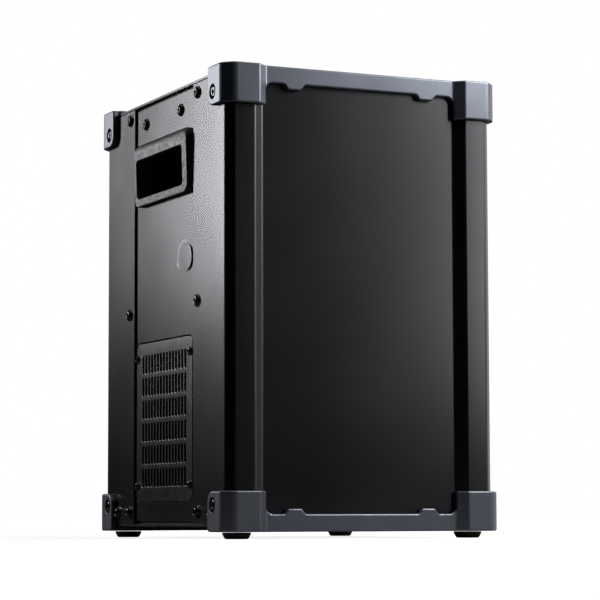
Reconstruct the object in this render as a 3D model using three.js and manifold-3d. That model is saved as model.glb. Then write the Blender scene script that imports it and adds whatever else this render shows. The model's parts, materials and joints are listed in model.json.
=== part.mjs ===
// A cold spark machine. Bent sheet covers and side panels stand between four cast bumpers.
// Inside, granules fall from a hopper through a feed rotor into a hot tube, and a blower
// lifts them out of the nozzle in the top plate.
// Millimetres, +Z up, the front faces -Y, and the origin is on the floor under the middle.
import * as THREE from "three";
import { mergeVertices } from "three/addons/utils/BufferGeometryUtils.js";
import Module from "manifold-3d";

const wasm = await Module();
wasm.setup();

// Clearances
const seat = 0.3; // between two pieces that rest on each other
const lap = 0.2; // between a cover's strip and the side panel under it
const running = 0.4; // round a piece that moves
const overrun = 6; // how far a cut runs past its piece
const weld = 0.0002; // points nearer than this are one point

// Counts
const fineSides = 20; // round pieces that show
const roundSides = 16;
const smallSides = 8;
const buttonSides = 12;
const cornerSteps = 3;
const turn = 2 * Math.PI;
const quarter = turn / 4;

// Body of bent sheet
const bodyWidth = 192;
const bodyDepth = 225;
const skin = 1.4;
const sideSheet = 1.6;
const plateSheet = 1.7;
const cornerChamfer = 4.75;
const railWidth = 15;
const stepWidth = 6.4;
const stepDepth = 5.5;
const stripMargin = 2.75; // between a grille plate and the covers' strips beside it
const underlap = 22; // how far a side panel runs on under each strip
const panelShadow = 2; // between a side panel's edge and the top or base plate
const plateFlange = 10;
const plateFlangeMargin = 6.5; // between the ends of a side panel and of a plate's flange

// Bumpers
const bumperSpan = 300; // from the lowest bumper face to the highest
const bumperRise = 3.2; // above the top plate, and below the base plate
const bumperProud = 4;
const bumperRound = 2.2;
const bumperRoundSteps = 2;
const blockHeight = 26.1;
const flangeRun = 24.3; // how far the corner blocks reach back from the front plane
const barHeight = 11.3;
const barWeb = 7.5; // how far the bar reaches in over the plate
const barCorner = 5;
const padInner = 28; // how far a corner pad reaches in from the side
const padChamfer = 6;
const bumpStart = 40; // from the middle of the bar
const bumpFlat = 8;
const bumpRamp = 4;
const bumpDrop = 3.5;
const bumpSteps = 3;
const bumperScrewBack = 15.9;
const bumperScrewDown = 17.2;
const bumperScrewRadius = 2.75;
const bumperSinkRadius = 5;
const bumperSinkDepth = 2.3;

// Feet
const footDrop = 4.5;
const footRadius = 9.25;
const footTaper = 0.6;
const footRecessRadius = 4;
const footRecessDepth = 2.4;
const footInsetX = 12.5;
const footInsetY = 14.5;

// Handle cups
const handleY = 0;
const handleWidth = 98;
const handleHeight = 42.1;
const handleDrop = 51.8; // the handle cup's middle below the top plate
const handleCorner = 7.5;
const handleProudTop = 6;
const handleProudBottom = 4.4;
const windowWidth = 84;
const windowHeight = 26;
const windowRise = -2.4; // the window's middle against the bezel's middle
const windowCorner = 3;
const handleWall = 2.2;
const hookHeight = 5.4; // how far the pocket goes up behind the top lip
const hookThickness = 5;
const pocketDepth = 24;

// Grille plates
const grilleY = 1.5;
const grilleWidth = 103.5;
const grilleHeight = 109.5;
const grilleCorner = 6;
const grilleThickness = 3;
const grilleProud = 0.2;
const slotColumns = 15;
const slotRows = 6;
const slotPitchY = 5.55;
const slotPitchZ = 15.57;
const slotWidth = 2.6;
const slotLength = 12.2;
const slotRise = 0.5; // the slot field's middle above the plate's middle

// Cooling fans behind the grilles
const fanSize = 92;
const fanDepth = 25;
const fanCorner = 5;
const fanBore = 43;
const shroudMarginY = 5.25; // how far the shroud reaches past the grille plate
const shroudMarginZ = 4.25;
const fanLift = 0.8; // above the base plate's flange
const shroudSheet = 2;
const fanHubRadius = 17;
const fanHubDepth = 15;
const fanStrutWidth = 4;
const fanSpider = 2; // thickness of the struts and of the motor seat
const fanShaftRadius = 2.2;
const fanTipGap = 1.2;
const fanBlades = 7;
const bladeSections = 4;
const bladeThickness = 1.6;
const bladeChordRoot = 19;
const bladeChordTip = 25;
const bladePitchRoot = 0.75;
const bladePitchTip = 0.5;
const bladeSweep = 0.35;

// Drain plug and tube
const drainBack = 12.9; // behind the front strip's edge
const drainLiftShare = 0.0552; // of the room on the side wall
const drainRadius = 8.8;
const drainProud = 1.1;
const drainNeckRadius = 5.6;
const drainNeckLength = 9;
const drainLugReach = 1;
const drainLugWidth = 3;
const drainLugLength = 2;
const drainTubeRadius = 9;
const drainTubeWall = 1.5;
const drainFlangeRadius = 13;
const drainFlange = 1.6;
const drainStraight = 12;
const drainSteps = 7;

// Spark column
const nozzleBack = 54.5; // behind the front plane
const tubeRadius = 15;
const tubeWall = 3;
const nozzleTopProud = 2.9;
const nozzleLength = 41;
const nozzleFlangeRadius = 25;
const nozzleFlange = 2.3;
const outletRadius = 32;
const outletThickness = 2.4;
const outletSlope = 5;
const outletLipShare = 0.333; // of the ring's thickness
const tubeFlangeRadius = 22;
const tubeFlange = 3;
const jacketRadius = 29;
const jacketGap = 2.4; // under the deck

// Blower
const blowerLift = 60.6; // the blower's axis above the base plate
const blowerThickness = 24;
const blowerWall = 1.5;
const scrollStart = 28;
const scrollEnd = 41;
const scrollOpenShare = 0.1667; // of a full turn
const scrollSteps = 20;
const ductWidth = 26;
const ductRise = 28; // where the duct's inner side leaves the scroll, above its middle
const ductLength = 20.3;
const inletRadius = 18;
const blowerFootWidth = 28;
const wheelRadius = 25;
const wheelWidth = 17;
const wheelPlate = 1.5;
const wheelRing = 3;
const wheelBlades = 16;
const wheelBladeThickness = 1.2;
const wheelBladeDepth = 7;
const wheelBladeLean = 0.6;
const wheelHubRadius = 6;
const wheelShaftRadius = 2.5;
const wheelShaftReach = 8;
const blowerMotorRadius = 17;
const blowerMotorLength = 21;

// Feed
const feedBack = 42; // behind the nozzle's axis
const feedRise = 40; // above the deck
const feedBore = 14;
const feedWall = 3.5;
const feedEnd = 3;
const feedHalf = 19;
const rotorRoot = 6.5;
const rotorVanes = 8;
const rotorVaneShare = 0.35; // of one vane's pitch
const feedShaftRadius = 3;
const feedShaftReach = 10;
const inletWidth = 22;
const inletDepth = 16;
const inletCollar = 2;
const inletProud = 0.6; // above the barrel
const spoutHalf = 7;
const spoutTopRise = 1; // above the bore's lowest line
const spoutFloorRise = 2; // the spout's floor under the rotor, above the same line
const spoutFall = 12; // from that line to the spout's lower end
const spoutWall = 2;
const feedLegWidth = 5;
const feedLegGap = 10;
const feedMotorRadius = 18;
const feedMotorLength = 46;

// Hopper and filler
const hopperSideGap = 2.4; // between the hopper and a handle pocket
const hopperFrontGap = 0.5; // between the hopper's rim and the nozzle's flange
const hopperPanelGap = 3.5; // between the hopper's rim and the control panel's tray
const hopperRearGap = 40.5; // between the hopper and the rear plane
const hopperFunnelShare = 0.49; // of the hopper's height
const hopperWall = 1.5;
const hopperRim = 3.5;
const fillerMargin = 3.5; // between the neck and the hopper's left wall
const fillerAhead = 36; // before the hopper's rear wall
const neckRadius = 19.5;
const neckWall = 3;
const neckFlangeRadius = 26;
const neckFlange = 1.7;
const neckRise = 4.9; // the neck's rim above the top plate
const neckDrop = 8;
const sealThickness = 1;
const capRadius = 23.5;
const capFlute = 0.9;
const capFlutes = 12;
const capFluteSteps = 4;
const capCrown = 4.4;
const capPocket = 2.8;
const capBarWidth = 7;
const capRimWidth = 2.6;

// Control panel
const controlMargin = 13; // between the panel and the body's right side
const controlAhead = 74.5; // the panel's middle before the rear plane
const controlWidth = 90;
const controlDepth = 50;
const controlCorner = 5;
const controlRise = 2.7;
const controlLip = 4; // how far the bezel reaches past the tray
const controlTrayDrop = 4;
const controlWall = 2;
const screenWidth = 46;
const screenDepth = 20;
const screenOffsetY = 8;
const screenThickness = 1.4;
const screenLedge = 2;
const buttonRadius = 4.5;
const buttonEdgeShare = 0.167; // of the radius
const buttonCount = 4;
const buttonPitch = 18;
const buttonMargin = 0.3; // between a button's collar and the tray's wall
const buttonProud = 2;
const buttonTravel = 1;
const buttonCollar = 1.2;
const buttonCollarThickness = 1;
const switchSize = 6;
const switchHeight = 3;
const boardSheet = 1.6;
const boardPost = 4;

// Rear connectors
const rearLowZ = 55;
const rearHighZ = 95;
const powerInletX = 44;
const powerOutletX = 10;
const switchX = -26;
const fuseX = -54;
const signalInletX = 32;
const signalOutletX = -4;
const plateWidth = 26;
const plateHeight = 31;
const plateThickness = 2;
const plateCorner = 3;
const shellRadius = 11.8;
const shellDepth = 22;
const powerMouth = 9.6;
const powerWell = 15;
const powerCoreRadius = 5;
const powerCoreHeight = 5;
const signalMouth = 9.2;
const signalWell = 15;
const pinRadius = 1.2;
const pinLength = 9;
const pinCircle = 4.8;
const signalCoreRadius = 7.3;
const signalCoreSink = 1;
const latchWidth = 7;
const latchHeight = 3.2;
const latchDrop = 12.6;
const latchDepth = 8;
const latchProud = 3;
const switchFlangeWidth = 22;
const switchFlangeHeight = 31;
const switchFlange = 1.8;
const switchBodyWidth = 18;
const switchBodyHeight = 27;
const switchBodyDepth = 17;
const rockerWidth = 13.2;
const rockerHalf = 9.2;
const rockerCrest = 5.6;
const rockerValley = 3.4;
const rockerBack = 4;
const rockerNeck = 5;
const rockerTiltDegrees = 9;
const pocketMargin = 1.4;
const fuseFlangeRadius = 9;
const fuseFlange = 2.4;
const fuseBodyRadius = 6.8;
const fuseBodyDepth = 26;
const fuseCapRadius = 5.2;
const fuseCapLength = 8;
const fuseCapProud = 1.2;
const fuseSlotWidth = 1.4;
const fuseSlotDepth = 1.5;

// Deck, power supply and heater driver
const deckLiftShare = 0.3523; // of the room on the side wall
const deckSheet = 1.5;
const deckGap = 7.6; // between the deck and the covers' recessed panels
const deckFlange = 10;
const supplyGap = 4.5; // to the fans and the blower's motor
const supplyRearGap = 11.3; // to the fuse holder
const supplyHeight = 41;
const supplyStep = 8;
const driverLeft = -6;
const driverWidth = 64;
const driverGap = 7; // behind the heater jacket
const driverRearGap = 32; // before the deck's rear edge
const driverBase = 4;
const driverFinHeight = 20;
const driverFins = 9;
const driverFinShare = 0.35; // of one fin's pitch

// Places that follow from the sizes above
const halfWidth = bodyWidth / 2;
const frontPlane = -bodyDepth / 2;
const rearPlane = bodyDepth / 2;
const bumperTop = footDrop + bumperSpan;
const middleZ = footDrop + bumperSpan / 2;
const bodyTop = bumperTop - bumperRise;
const bodyBottom = footDrop + bumperRise;
const plateUnder = bodyTop - plateSheet;
const baseUpper = bodyBottom + plateSheet;
const railInner = halfWidth - cornerChamfer - railWidth;
const panelHalf = railInner - stepWidth;
const sideOuter = halfWidth - skin - lap;
const sideInner = sideOuter - sideSheet;
const stripRun = (bodyDepth - grilleWidth) / 2 - stripMargin;
const sideHalf = bodyDepth / 2 - stripRun + underlap;
const recessInner = rearPlane - stepDepth - skin;
const recessOuter = rearPlane - stepDepth;
const shroudWidth = grilleWidth + 2 * shroudMarginY;
const shroudHeight = grilleHeight + 2 * shroudMarginZ;
const grilleZ = baseUpper + plateFlange + fanLift + shroudHeight / 2;
const fanOuter = -sideOuter - grilleProud + grilleThickness + seat;
const fanInner = fanOuter + fanDepth;
const tubeBore = tubeRadius - tubeWall;
const nozzleY = frontPlane + nozzleBack;
const nozzleTop = bodyTop + nozzleTopProud;
const nozzleFoot = nozzleTop - nozzleLength;
const handleZ = bodyTop - handleDrop;
const handleLow = handleZ - handleHeight / 2;
const handleHigh = handleZ + handleHeight / 2;
const pocketLow = handleZ + windowRise - windowHeight / 2 - handleWall;

// What stays free on the side wall between the fans and the handle pockets
const shroudHigh = grilleZ + shroudHeight / 2;
const wallRoom = pocketLow - shroudHigh - deckFlange - deckSheet - 2 * drainFlangeRadius;
const deckZ = shroudHigh + deckFlange + deckLiftShare * wallRoom;
const deckHalfDepth = recessInner - deckGap;
const drainY = frontPlane + stripRun + drainBack;
const drainZ = deckZ + deckSheet + drainLiftShare * wallRoom + drainFlangeRadius;
const blowerX = ductWidth / 2 - scrollEnd;
const blowerZ = baseUpper + blowerLift;
const blowerFront = nozzleY - blowerThickness / 2;
const blowerBack = nozzleY + blowerThickness / 2;
const tubeFoot = blowerZ + ductRise + ductLength;
const feedY = nozzleY + feedBack;
const feedZ = deckZ + feedRise;
const inletTop = feedZ + feedBore + feedWall + inletProud;
const spoutHigh = feedZ - feedBore + spoutTopRise;
const spoutStart = feedZ - feedBore + spoutFloorRise;
const spoutLow = feedZ - feedBore - spoutFall;
const controlX = halfWidth - controlMargin - controlWidth / 2;
const controlY = rearPlane - controlAhead;
const controlTrayWidth = controlWidth - 2 * controlLip;
const controlTrayDepth = controlDepth - 2 * controlLip;
const hopperLeft = pocketDepth + hopperSideGap - sideOuter;
const hopperRight = controlX - controlTrayWidth / 2 - hopperPanelGap - hopperRim;
const hopperFront = nozzleY + nozzleFlangeRadius + hopperFrontGap + hopperRim;
const hopperBack = rearPlane - hopperRearGap;
const fillerX = hopperLeft + fillerMargin + neckRadius;
const fillerY = hopperBack - fillerAhead;
const supplyHalfWidth = -fanInner - supplyGap;
const supplyFront = blowerBack + seat + blowerMotorLength + supplyGap;
const supplyBack = recessOuter + seat - fuseBodyDepth - supplyRearGap;
const driverFront = nozzleY + jacketRadius + driverGap;
const driverBack = deckHalfDepth - driverRearGap;

// A closed geometry as a solid that can be joined and cut, with its faces pointing out.
function solid(geometry) {
  const source = geometry.index ? geometry.toNonIndexed() : geometry;
  const bare = new THREE.BufferGeometry();
  bare.setAttribute("position", source.getAttribute("position"));
  const merged = mergeVertices(bare, weld);
  const corners = merged.index.array;
  const triangles = [];
  for (let i = 0; i < corners.length; i += 3) {
    const [a, b, c] = [corners[i], corners[i + 1], corners[i + 2]];
    if (a !== b && b !== c && c !== a) triangles.push([a, b, c]);
  }
  const build = (list) =>
    new wasm.Manifold(
      new wasm.Mesh({
        numProp: 3,
        vertProperties: merged.attributes.position.array,
        triVerts: new Uint32Array(list.flat()),
      }),
    );
  const made = build(triangles);
  if (made.volume() > 0) return made;
  return build(triangles.map(([a, b, c]) => [a, c, b]));
}

// A solid as a geometry with flat faces.
function geometryOf(body) {
  const { vertProperties, triVerts } = body.getMesh();
  const geometry = new THREE.BufferGeometry();
  geometry.setAttribute("position", new THREE.BufferAttribute(vertProperties, 3));
  geometry.setIndex(new THREE.BufferAttribute(triVerts, 1));
  const flat = geometry.toNonIndexed();
  flat.computeVertexNormals();
  return flat;
}

const join = (...bodies) => bodies.reduce((all, one) => all.add(one));
const cut = (body, ...tools) => tools.reduce((left, one) => left.subtract(one), body);

// Points on an arc, both ends included.
function arc(x, y, radius, from, to, steps) {
  return Array.from({ length: steps + 1 }, (_, i) => {
    const angle = from + ((to - from) * i) / steps;
    return [x + radius * Math.cos(angle), y + radius * Math.sin(angle)];
  });
}

function circle(x, y, radius, sides = roundSides) {
  return arc(x, y, radius, 0, turn, sides).slice(1);
}

function roundedRectangle(x, y, width, height, radius, steps = cornerSteps) {
  const [right, top] = [x + width / 2 - radius, y + height / 2 - radius];
  const [left, low] = [x - width / 2 + radius, y - height / 2 + radius];
  return [
    ...arc(right, top, radius, 0, quarter, steps),
    ...arc(left, top, radius, quarter, 2 * quarter, steps),
    ...arc(left, low, radius, 2 * quarter, 3 * quarter, steps),
    ...arc(right, low, radius, 3 * quarter, turn, steps),
  ];
}

function rectangle(left, low, right, high) {
  return [
    [left, low],
    [right, low],
    [right, high],
    [left, high],
  ];
}

// A path moved outwards by a distance, with its corners kept sharp. Outwards is to the right.
function offsetPath(path, distance, closed) {
  const count = path.length;
  const normals = path.map(([x, y], i) => {
    const [nextX, nextY] = path[(i + 1) % count];
    return new THREE.Vector2(nextY - y, x - nextX).normalize();
  });
  return path.map(([x, y], i) => {
    const before = normals[closed ? (i + count - 1) % count : Math.max(i - 1, 0)];
    const after = normals[closed ? i : Math.min(i, count - 2)];
    const miter = before.clone().add(after);
    miter.multiplyScalar(distance / (1 + before.dot(after)));
    return [x + miter.x, y + miter.y];
  });
}

function extrude(outline, depth, holes) {
  const points = (list) => list.map(([x, y]) => new THREE.Vector2(x, y));
  const shape = new THREE.Shape(points(outline));
  shape.holes = holes.map((hole) => new THREE.Path(points(hole)));
  return new THREE.ExtrudeGeometry(shape, { depth, bevelEnabled: false });
}

// An outline in X and Y, extruded up.
function upright(outline, low, high, holes = []) {
  return solid(extrude(outline, high - low, holes).translate(0, 0, low));
}

// An outline in Y and Z, extruded along X.
function sideways(outline, left, right, holes = []) {
  const basis = new THREE.Matrix4().makeBasis(
    new THREE.Vector3(0, 1, 0),
    new THREE.Vector3(0, 0, 1),
    new THREE.Vector3(1, 0, 0),
  );
  return solid(extrude(outline, right - left, holes).applyMatrix4(basis).translate(left, 0, 0));
}

// An outline in X and Z, extruded along Y.
function across(outline, front, back, holes = []) {
  const basis = new THREE.Matrix4().makeBasis(
    new THREE.Vector3(1, 0, 0),
    new THREE.Vector3(0, 0, 1),
    new THREE.Vector3(0, -1, 0),
  );
  return solid(extrude(outline, back - front, holes).applyMatrix4(basis).translate(0, back, 0));
}

// A profile of radius and height, revolved about the upright axis.
function revolve(profile, sides = roundSides) {
  const points = profile.map(([radius, height]) => new THREE.Vector2(radius, height));
  return new THREE.LatheGeometry(points, sides).rotateX(quarter);
}

// The same, with the profile's heights along +X.
function revolveAlongX(profile, x, y, z, sides = roundSides) {
  return solid(revolve(profile, sides).rotateY(quarter).translate(x, y, z));
}

// A solid through closed loops of equally many points, each loop convex.
function loft(loops) {
  const count = loops[0].length;
  const points = loops.flat().flatMap((point) => point.toArray());
  const faces = [];
  for (let level = 0; level + 1 < loops.length; level += 1) {
    for (let i = 0; i < count; i += 1) {
      const [a, b] = [level * count + i, level * count + ((i + 1) % count)];
      faces.push(a, b, b + count, a, b + count, a + count);
    }
  }
  const last = (loops.length - 1) * count;
  for (let i = 1; i + 1 < count; i += 1) {
    faces.push(0, i + 1, i, last, last + i, last + i + 1);
  }
  const geometry = new THREE.BufferGeometry();
  geometry.setAttribute("position", new THREE.Float32BufferAttribute(points, 3));
  geometry.setIndex(faces);
  return solid(geometry);
}

// Materials
const paint = (color, roughness, metalness) =>
  new THREE.MeshStandardMaterial({ color, roughness, metalness });
const powderCoat = paint(0x16161a, 0.5, 0.3);
const castPaint = paint(0x4a4e57, 0.4, 0.6);
const mouldedBlack = paint(0x131315, 0.6, 0);
const rubber = paint(0x0c0c0d, 0.9, 0);
const steel = paint(0xb9bbbe, 0.25, 1);
const aluminium = paint(0xa9adb2, 0.4, 0.9);
const ceramic = paint(0xe2ddd0, 0.8, 0);
const boardGreen = paint(0x1f5c3a, 0.6, 0);
const brightWhite = paint(0xe9e9e6, 0.5, 0);
const glassDark = paint(0x0a0f16, 0.1, 0);
const galvanised = paint(0x8d9196, 0.45, 0.8);
const powerBlue = paint(0x1d4f9e, 0.5, 0);

const machine = new THREE.Group();

function add(name, body, material, parent = machine) {
  const mesh = new THREE.Mesh(geometryOf(body), material);
  mesh.name = name;
  parent.add(mesh);
  return mesh;
}

// Corners of the body's outline, front half, from the left side to the right.
function frontCorners() {
  const left = [
    [-halfWidth, frontPlane + cornerChamfer],
    [-halfWidth + cornerChamfer, frontPlane],
    [-railInner, frontPlane],
    [-panelHalf, frontPlane + stepDepth],
  ];
  return [...left, ...left.toReversed().map(([x, y]) => [-x, y])];
}

function bodyOutline() {
  const front = frontCorners();
  return [...front, ...front.map(([x, y]) => [-x, -y])];
}

// One bent sheet: the recessed panel, two raised rails, two chamfers and two side strips.
function cover() {
  const outer = [
    [-halfWidth, frontPlane + stripRun],
    ...frontCorners(),
    [halfWidth, frontPlane + stripRun],
  ];
  const sheet = [...outer, ...offsetPath(outer, -skin, false).toReversed()];
  return upright(sheet, baseUpper + seat, plateUnder - seat);
}

// A flat plate in the body's outline with two flanges that fold away from its outer face.
function plate(low, high, flangeLow, flangeHigh, holes) {
  const outer = sideInner - seat;
  const flange = rectangle(outer - plateSheet, flangeLow, outer, flangeHigh);
  const half = sideHalf - plateFlangeMargin;
  const right = across(flange, -half, half);
  const left = across(flange.map(([x, z]) => [-x, z]), -half, half);
  return join(upright(bodyOutline(), low, high, holes), left, right);
}

// The handle pocket's outline in Y and Z, grown by a wall or a clearance.
function pocketOutline(grow) {
  return roundedRectangle(
    handleY,
    handleZ + windowRise + hookHeight / 2,
    windowWidth + 2 * grow,
    windowHeight + hookHeight + 2 * grow,
    windowCorner + grow,
  );
}

// A side panel's own outline in Y and Z, with its cut-outs for the handle cup and the grille.
function sidePanel(extraHoles) {
  const outline = rectangle(
    -sideHalf,
    baseUpper + panelShadow,
    sideHalf,
    plateUnder - panelShadow,
  );
  const handleHole = pocketOutline(handleWall + seat);
  const grilleHole = roundedRectangle(
    grilleY,
    grilleZ,
    grilleWidth + 2 * seat,
    grilleHeight + 2 * seat,
    grilleCorner,
  );
  return sideways(outline, -sideOuter, -sideInner, [handleHole, grilleHole, ...extraHoles]);
}

// Half of a bar's lower edge, from its middle out to the corner block, as X and depth.
function barEdge(blockSide) {
  const ramp = (from, start, end) =>
    Array.from({ length: bumpSteps + 1 }, (_, i) => {
      const share = i / bumpSteps;
      const ease = (1 - Math.cos(share * 2 * quarter)) / 2;
      return [from + bumpRamp * share, start + (end - start) * ease];
    });
  return [
    ...ramp(bumpStart, barHeight, barHeight + bumpDrop),
    ...ramp(bumpStart + bumpRamp + bumpFlat, barHeight + bumpDrop, barHeight),
    ...arc(blockSide - barCorner, barHeight + barCorner, barCorner, -quarter, 0, cornerSteps),
    [blockSide, blockHeight],
  ];
}

// The top front bumper: a bar with two corner blocks that wrap onto the sides. It rests on the
// top plate with a pad at each corner and a web along the bar.
function bumper() {
  const outer = offsetPath(bodyOutline(), bumperProud, true);
  const shape = new THREE.Shape(outer.map(([x, y]) => new THREE.Vector2(x, y)));
  const rounded = new THREE.ExtrudeGeometry(shape, {
    depth: blockHeight - 2 * bumperRound,
    bevelThickness: bumperRound,
    bevelSize: bumperRound,
    bevelOffset: -bumperRound,
    bevelSegments: bumperRoundSteps,
  });
  const envelope = solid(rounded.translate(0, 0, bumperTop - blockHeight + bumperRound));

  const body = upright(
    offsetPath(bodyOutline(), seat, true),
    bumperTop - blockHeight - overrun,
    bodyTop + seat,
  );

  const padEdge = halfWidth - padInner;
  const barBack = frontPlane + stepDepth + barWeb;
  const opening = [
    [-padEdge, rearPlane + bumperProud + overrun],
    [-padEdge, barBack + padChamfer],
    [-padEdge + padChamfer, barBack],
    [padEdge - padChamfer, barBack],
    [padEdge, barBack + padChamfer],
    [padEdge, rearPlane + bumperProud + overrun],
  ];
  const inside = upright(opening, bumperTop - blockHeight - overrun, bumperTop + overrun);

  const reach = halfWidth + bumperProud + overrun;
  const blockSide = Math.abs(offsetPath(frontCorners(), bumperProud, false)[3][0]);
  const edge = barEdge(blockSide).map(([x, depth]) => [x, bumperTop - depth]);
  const face = [
    ...edge.toReversed().map(([x, z]) => [-x, z]),
    ...edge,
    [reach, bumperTop - blockHeight],
    [reach, bumperTop + overrun],
    [-reach, bumperTop + overrun],
    [-reach, bumperTop - blockHeight],
  ];
  const front = across(face, frontPlane - bumperProud - overrun, frontPlane + flangeRun);

  const sink = [
    [0, -overrun],
    [bumperSinkRadius, -overrun],
    [bumperSinkRadius, 0],
    [bumperScrewRadius, bumperSinkDepth],
    [bumperScrewRadius, bumperProud + overrun],
    [0, bumperProud + overrun],
  ];
  const screwY = frontPlane + bumperScrewBack;
  const screwZ = bumperTop - bumperScrewDown;
  const side = halfWidth + bumperProud;
  const leftSink = revolveAlongX(sink, -side, screwY, screwZ, smallSides);
  const mirrored = sink.map(([radius, depth]) => [radius, -depth]);
  const rightSink = revolveAlongX(mirrored, side, screwY, screwZ, smallSides);
  return cut(envelope, body, inside, leftSink, rightSink).intersect(front);
}

function foot() {
  const high = footDrop - seat;
  return solid(
    revolve([
      [0, footRecessDepth],
      [footRecessRadius, footRecessDepth],
      [footRecessRadius, 0],
      [footRadius - 2 * footTaper, 0],
      [footRadius - footTaper, footTaper],
      [footRadius, high],
      [0, high],
    ]),
  );
}

// A handle cup for the left side: a bezel that stands proud of the panel, more at its top than
// at its bottom, and a finger pocket that goes up behind the top lip.
function handleCup() {
  const panel = sideOuter + seat;
  const bezel = sideways(
    roundedRectangle(handleY, handleZ, handleWidth, handleHeight, handleCorner),
    -sideOuter - handleProudTop - overrun,
    -panel,
  );
  const shaving = across(
    [
      [-sideOuter - handleProudBottom, handleLow],
      [-sideOuter - handleProudTop, handleHigh],
      [-sideOuter - handleProudTop, handleHigh + overrun],
      [-sideOuter - handleProudTop - 2 * overrun, handleHigh + overrun],
      [-sideOuter - handleProudTop - 2 * overrun, handleLow - overrun],
      [-sideOuter - handleProudBottom, handleLow - overrun],
    ],
    handleY - handleWidth,
    handleY + handleWidth,
  );
  const deep = -sideOuter + pocketDepth;
  const shell = sideways(pocketOutline(handleWall), -panel - seat, deep);
  const window = sideways(
    roundedRectangle(handleY, handleZ + windowRise, windowWidth, windowHeight, windowCorner),
    -sideOuter - handleProudTop - overrun,
    deep - handleWall,
  );
  const hook = sideways(
    pocketOutline(0),
    -sideOuter - handleProudTop + hookThickness,
    deep - handleWall,
  );
  return cut(join(cut(bezel, shaving), shell), window, hook);
}

// A grille plate for the left side: upright slots in columns and rows.
function grille() {
  const outer = -sideOuter - grilleProud;
  const outline = roundedRectangle(grilleY, grilleZ, grilleWidth, grilleHeight, grilleCorner);
  const slots = [];
  for (let row = 0; row < slotRows; row += 1) {
    for (let column = 0; column < slotColumns; column += 1) {
      const y = grilleY + (column - (slotColumns - 1) / 2) * slotPitchY;
      const z = grilleZ + slotRise + (row - (slotRows - 1) / 2) * slotPitchZ;
      slots.push(
        sideways(
          rectangle(y - slotWidth / 2, z - slotLength / 2, y + slotWidth / 2, z + slotLength / 2),
          outer - overrun,
          outer + grilleThickness + overrun,
        ),
      );
    }
  }
  return cut(sideways(outline, outer, outer + grilleThickness), ...slots);
}

// The frame of a cooling fan with the shroud that ties it to the panel, behind the left grille.
function fanFrame() {
  const bore = circle(grilleY, grilleZ, fanBore);
  const shroud = sideways(
    roundedRectangle(grilleY, grilleZ, shroudWidth, shroudHeight, fanCorner),
    fanOuter,
    fanOuter + shroudSheet,
    [bore],
  );
  const frame = sideways(
    roundedRectangle(grilleY, grilleZ, fanSize, fanSize, fanCorner),
    fanOuter,
    fanInner,
    [bore],
  );
  const half = fanStrutWidth / 2;
  const spider = [fanInner - fanSpider, fanInner];
  const upStrut = sideways(
    rectangle(grilleY - half, grilleZ - fanBore, grilleY + half, grilleZ + fanBore),
    ...spider,
  );
  const crossStrut = sideways(
    rectangle(grilleY - fanBore, grilleZ - half, grilleY + fanBore, grilleZ + half),
    ...spider,
  );
  const motorSeat = sideways(circle(grilleY, grilleZ, fanHubRadius), ...spider);
  const shaftHole = sideways(
    circle(grilleY, grilleZ, fanShaftRadius + running, smallSides),
    fanInner - fanSpider - overrun,
    fanInner + overrun,
  );
  return cut(join(shroud, frame, upStrut, crossStrut, motorSeat), shaftHole);
}

// A fan rotor about its own X axis: a hub, a shaft and blades that twist towards the tip.
function fanRotor() {
  const hub = sideways(circle(0, 0, fanHubRadius), -fanHubDepth / 2, fanHubDepth / 2);
  const shaft = sideways(
    circle(0, 0, fanShaftRadius, smallSides),
    0,
    fanHubDepth / 2 + running + fanSpider,
  );
  const root = fanHubRadius - bladeThickness;
  const tip = fanBore - fanTipGap;
  const loops = Array.from({ length: bladeSections }, (_, i) => {
    const share = i / (bladeSections - 1);
    const radius = THREE.MathUtils.lerp(root, tip, share);
    const chord = THREE.MathUtils.lerp(bladeChordRoot, bladeChordTip, share) / 2;
    const pitch = THREE.MathUtils.lerp(bladePitchRoot, bladePitchTip, share);
    const sweep = bladeSweep * share;
    const half = bladeThickness / 2;
    return rectangle(-chord, -half, chord, half).map(([along, through]) => {
      const x = along * Math.sin(pitch) + through * Math.cos(pitch);
      const round = along * Math.cos(pitch) - through * Math.sin(pitch);
      const angle = sweep + round / radius;
      return new THREE.Vector3(x, radius * Math.sin(angle), radius * Math.cos(angle));
    });
  });
  const blade = geometryOf(loft(loops));
  const blades = Array.from({ length: fanBlades }, (_, i) =>
    solid(blade.clone().rotateX((turn * i) / fanBlades)),
  );
  return join(hub, shaft, ...blades);
}

// The drain plug: a plain disc on the panel, a neck through it and two lugs behind it.
function drainPlug() {
  const face = -drainProud;
  const neckEnd = seat + drainNeckLength;
  const disc = revolveAlongX(
    [
      [0, face],
      [drainRadius - drainProud / 2, face],
      [drainRadius, face + drainProud / 2],
      [drainRadius, -seat],
      [0, -seat],
    ],
    -sideOuter,
    drainY,
    drainZ,
    fineSides,
  );
  const neck = sideways(
    circle(drainY, drainZ, drainNeckRadius, smallSides),
    -sideOuter - seat - drainProud / 4,
    -sideOuter + neckEnd,
  );
  const reach = drainNeckRadius + drainLugReach;
  const lugs = sideways(
    rectangle(drainY - reach, drainZ - drainLugWidth / 2, drainY + reach, drainZ + drainLugWidth / 2),
    -sideOuter + neckEnd - drainLugLength,
    -sideOuter + neckEnd,
  );
  return join(disc, neck, lugs);
}

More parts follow.
